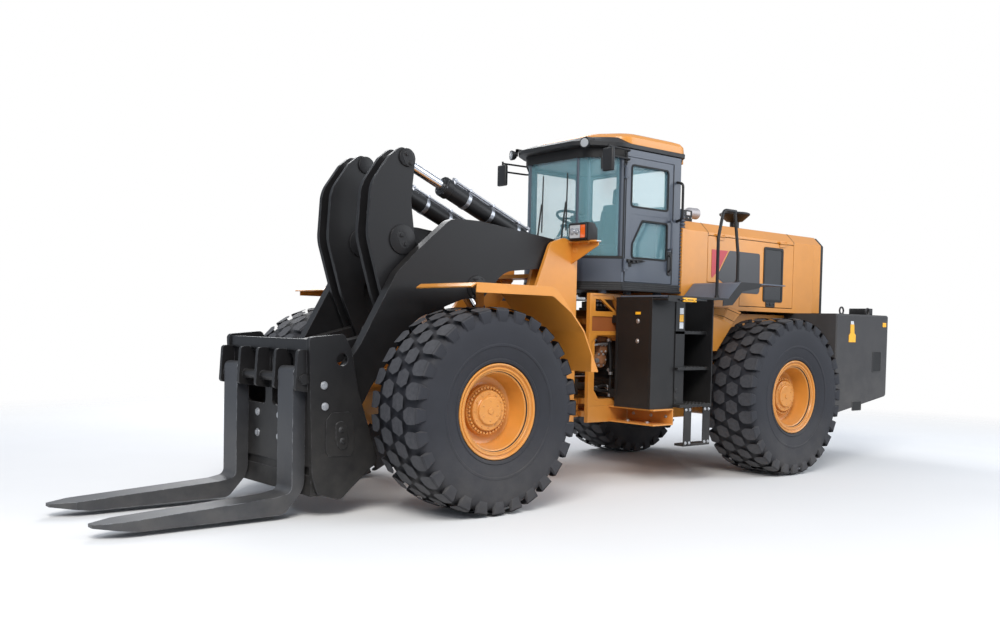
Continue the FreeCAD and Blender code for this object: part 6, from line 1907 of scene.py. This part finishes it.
@dataclass
class NodeDresser:
    """Gives every CAD node its finish."""

    finishes: dict[str, Finishes] = field(default_factory=lambda: {
        "yellow_paint": Finishes.ORANGE, "black_paint": Finishes.BLACK, "charcoal_paint": Finishes.CHARCOAL,
        "slate_paint": Finishes.SLATE, "dark_grey_paint": Finishes.CAST_GREY, "tyre_rubber": Finishes.RUBBER,
        "chrome_rod": Finishes.CHROME, "fork_steel": Finishes.FORK_STEEL, "cast_iron": Finishes.IRON,
        "clear_glass": Finishes.GLAZING, "black_plastic": Finishes.PLASTIC, "silver_pipe": Finishes.PIPE})
    own: dict[str, Finishes] = field(default_factory=lambda: {"rear_fenders": Finishes.DECK})

    def dress(self) -> None:
        """Assigns a material to every slot of every node."""
        slots = {part["node"]: part["material_slot"] for part in frame["record"]["subparts"]}
        for name, node in frame["nodes"].items():
            chosen = self.own.get(name, self.finishes[slots[name]])
            node.data.materials.clear()
            node.data.materials.append(chosen.value.material())
            LOG.info("node %s dressed as %s", name, chosen.name)


# ---------------------------------------------------------------- studio
@dataclass
class Studio:
    """Floor, soft lights and the camera."""

    eye: tuple[float, float, float] = (7.407, 7.99, 1.586)
    yaw: float = -131.758
    pitch: float = -2.091
    roll: float = 1.272
    lens: float = 36.245
    shift: tuple[float, float] = (-0.04645, 0.0508)

    def floor(self) -> None:
        """Lays a pale floor without an edge in view."""
        bm = bmesh.new()
        bmesh.ops.create_grid(bm, x_segments=1, y_segments=1, size=90.0)
        mesh = bpy.data.meshes.new("floor")
        bm.to_mesh(mesh)
        bm.free()
        floor = bpy.data.objects.new("floor", mesh)
        bpy.context.scene.collection.objects.link(floor)
        paint = bpy.data.materials.new("floor_paint")
        paint.use_nodes = True
        bench = NodeBench(paint.node_tree)
        shader = paint.node_tree.nodes["Principled BSDF"]
        shader.inputs["Roughness"].default_value = 0.9
        shader.inputs["Specular IOR Level"].default_value = 0.1
        place = bench.add("ShaderNodeTexCoord").outputs["Object"]
        colour = bench.blend(bench.noise(place, 0.6, 3.0), (0.72, 0.72, 0.725), (0.76, 0.76, 0.765))
        bench.join(colour, shader.inputs["Base Color"])
        reach = bench.add("ShaderNodeVectorMath", operation="LENGTH")
        bench.join(place, reach.inputs[0])
        bench.join(bench.spread(reach.outputs["Value"], 7.0, 13.0, 1.0, 0.0), shader.inputs["Alpha"])
        mesh.materials.append(paint)

    def world(self) -> None:
        """Soft sky light, white behind the machine."""
        world = bpy.data.worlds.new("studio")
        bpy.context.scene.world = world
        world.use_nodes = True
        bench = NodeBench(world.node_tree)
        tree = world.node_tree
        soft = tree.nodes["Background"]
        soft.inputs["Color"].default_value = (0.80, 0.88, 1.0, 1.0)
        soft.inputs["Strength"].default_value = 0.62
        white = bench.add("ShaderNodeBackground")
        white.inputs["Color"].default_value = (1.0, 1.0, 1.0, 1.0)
        path = bench.add("ShaderNodeLightPath")
        seen = bench.maths("MAXIMUM", path.outputs["Is Camera Ray"], path.outputs["Is Transmission Ray"])
        mix = bench.add("ShaderNodeMixShader")
        bench.join(seen, mix.inputs["Fac"])
        bench.join(soft.outputs[0], mix.inputs[1])
        bench.join(white.outputs[0], mix.inputs[2])
        bench.join(mix.outputs[0], tree.nodes["World Output"].inputs["Surface"])

    def lamp(self, name: str, place: Point, aim: Point, size: float, power: float,
             colour: tuple[float, float, float]) -> None:
        """Adds an area lamp.

        Args:
            name: Lamp's name.
            place: Where it stands.
            aim: Where it points.
            size: Edge of its square.
            power: Power in watts.
            colour: Its colour.
        """
        data = bpy.data.lights.new(name, "AREA")
        data.shape = "SQUARE"
        data.size = size
        data.energy = power
        data.color = colour
        lamp = bpy.data.objects.new(name, data)
        lamp.location = place
        lamp.rotation_euler = (Vector(aim) - Vector(place)).to_track_quat("-Z", "Y").to_euler()
        bpy.context.scene.collection.objects.link(lamp)

    def camera(self) -> None:
        """Sets the camera at the viewing place."""
        yaw, pitch, roll = (math.radians(a) for a in (self.yaw, self.pitch, self.roll))
        look = Vector((math.cos(yaw) * math.cos(pitch), math.sin(yaw) * math.cos(pitch), math.sin(pitch)))
        right = look.cross(Vector((0, 0, 1))).normalized()
        up = right.cross(look)
        tilted = right * math.cos(roll) + up * math.sin(roll)
        risen = up * math.cos(roll) - right * math.sin(roll)
        data = bpy.data.cameras.new("camera")
        data.sensor_width = 36.0
        data.lens = self.lens
        data.shift_x, data.shift_y = self.shift
        data.clip_end = 400.0
        camera = bpy.data.objects.new("camera", data)
        turn = Matrix((tilted, risen, -look)).transposed().to_4x4()
        camera.matrix_world = Matrix.Translation(at(*self.eye)) @ turn
        bpy.context.scene.collection.objects.link(camera)
        bpy.context.scene.camera = camera

    def build(self) -> None:
        """Sets up floor, world, lamps and camera."""
        self.floor()
        self.world()
        self.lamp("key", (9.0, 9.0, 11.0), (0, 0, 1.2), 7.0, 2100.0, (1.0, 0.97, 0.92))
        self.lamp("fill", (-9.0, 10.0, 7.0), (-1, 0, 1.2), 9.0, 900.0, (0.92, 0.96, 1.0))
        self.lamp("back", (-4.0, -11.0, 9.0), (0, 0, 1.4), 8.0, 1200.0, (1.0, 1.0, 1.0))
        self.camera()
        bpy.context.scene.view_settings.view_transform = "Standard"


def main() -> None:
    """Builds the machine's looks in order."""
    logging.basicConfig(level=logging.INFO, format="%(name)s %(message)s")
    Studio().build()
    NodeDresser().dress()
    for end in AXLES:
        for hand in HANDS:
            Wheel(end, hand).build()
    for part in (WorkingGear(), Headlights(), Cab(), Hood(), RearFrame(), SideGear(), Counterweight()):
        part.build()


if __name__ == "__main__":
    main()
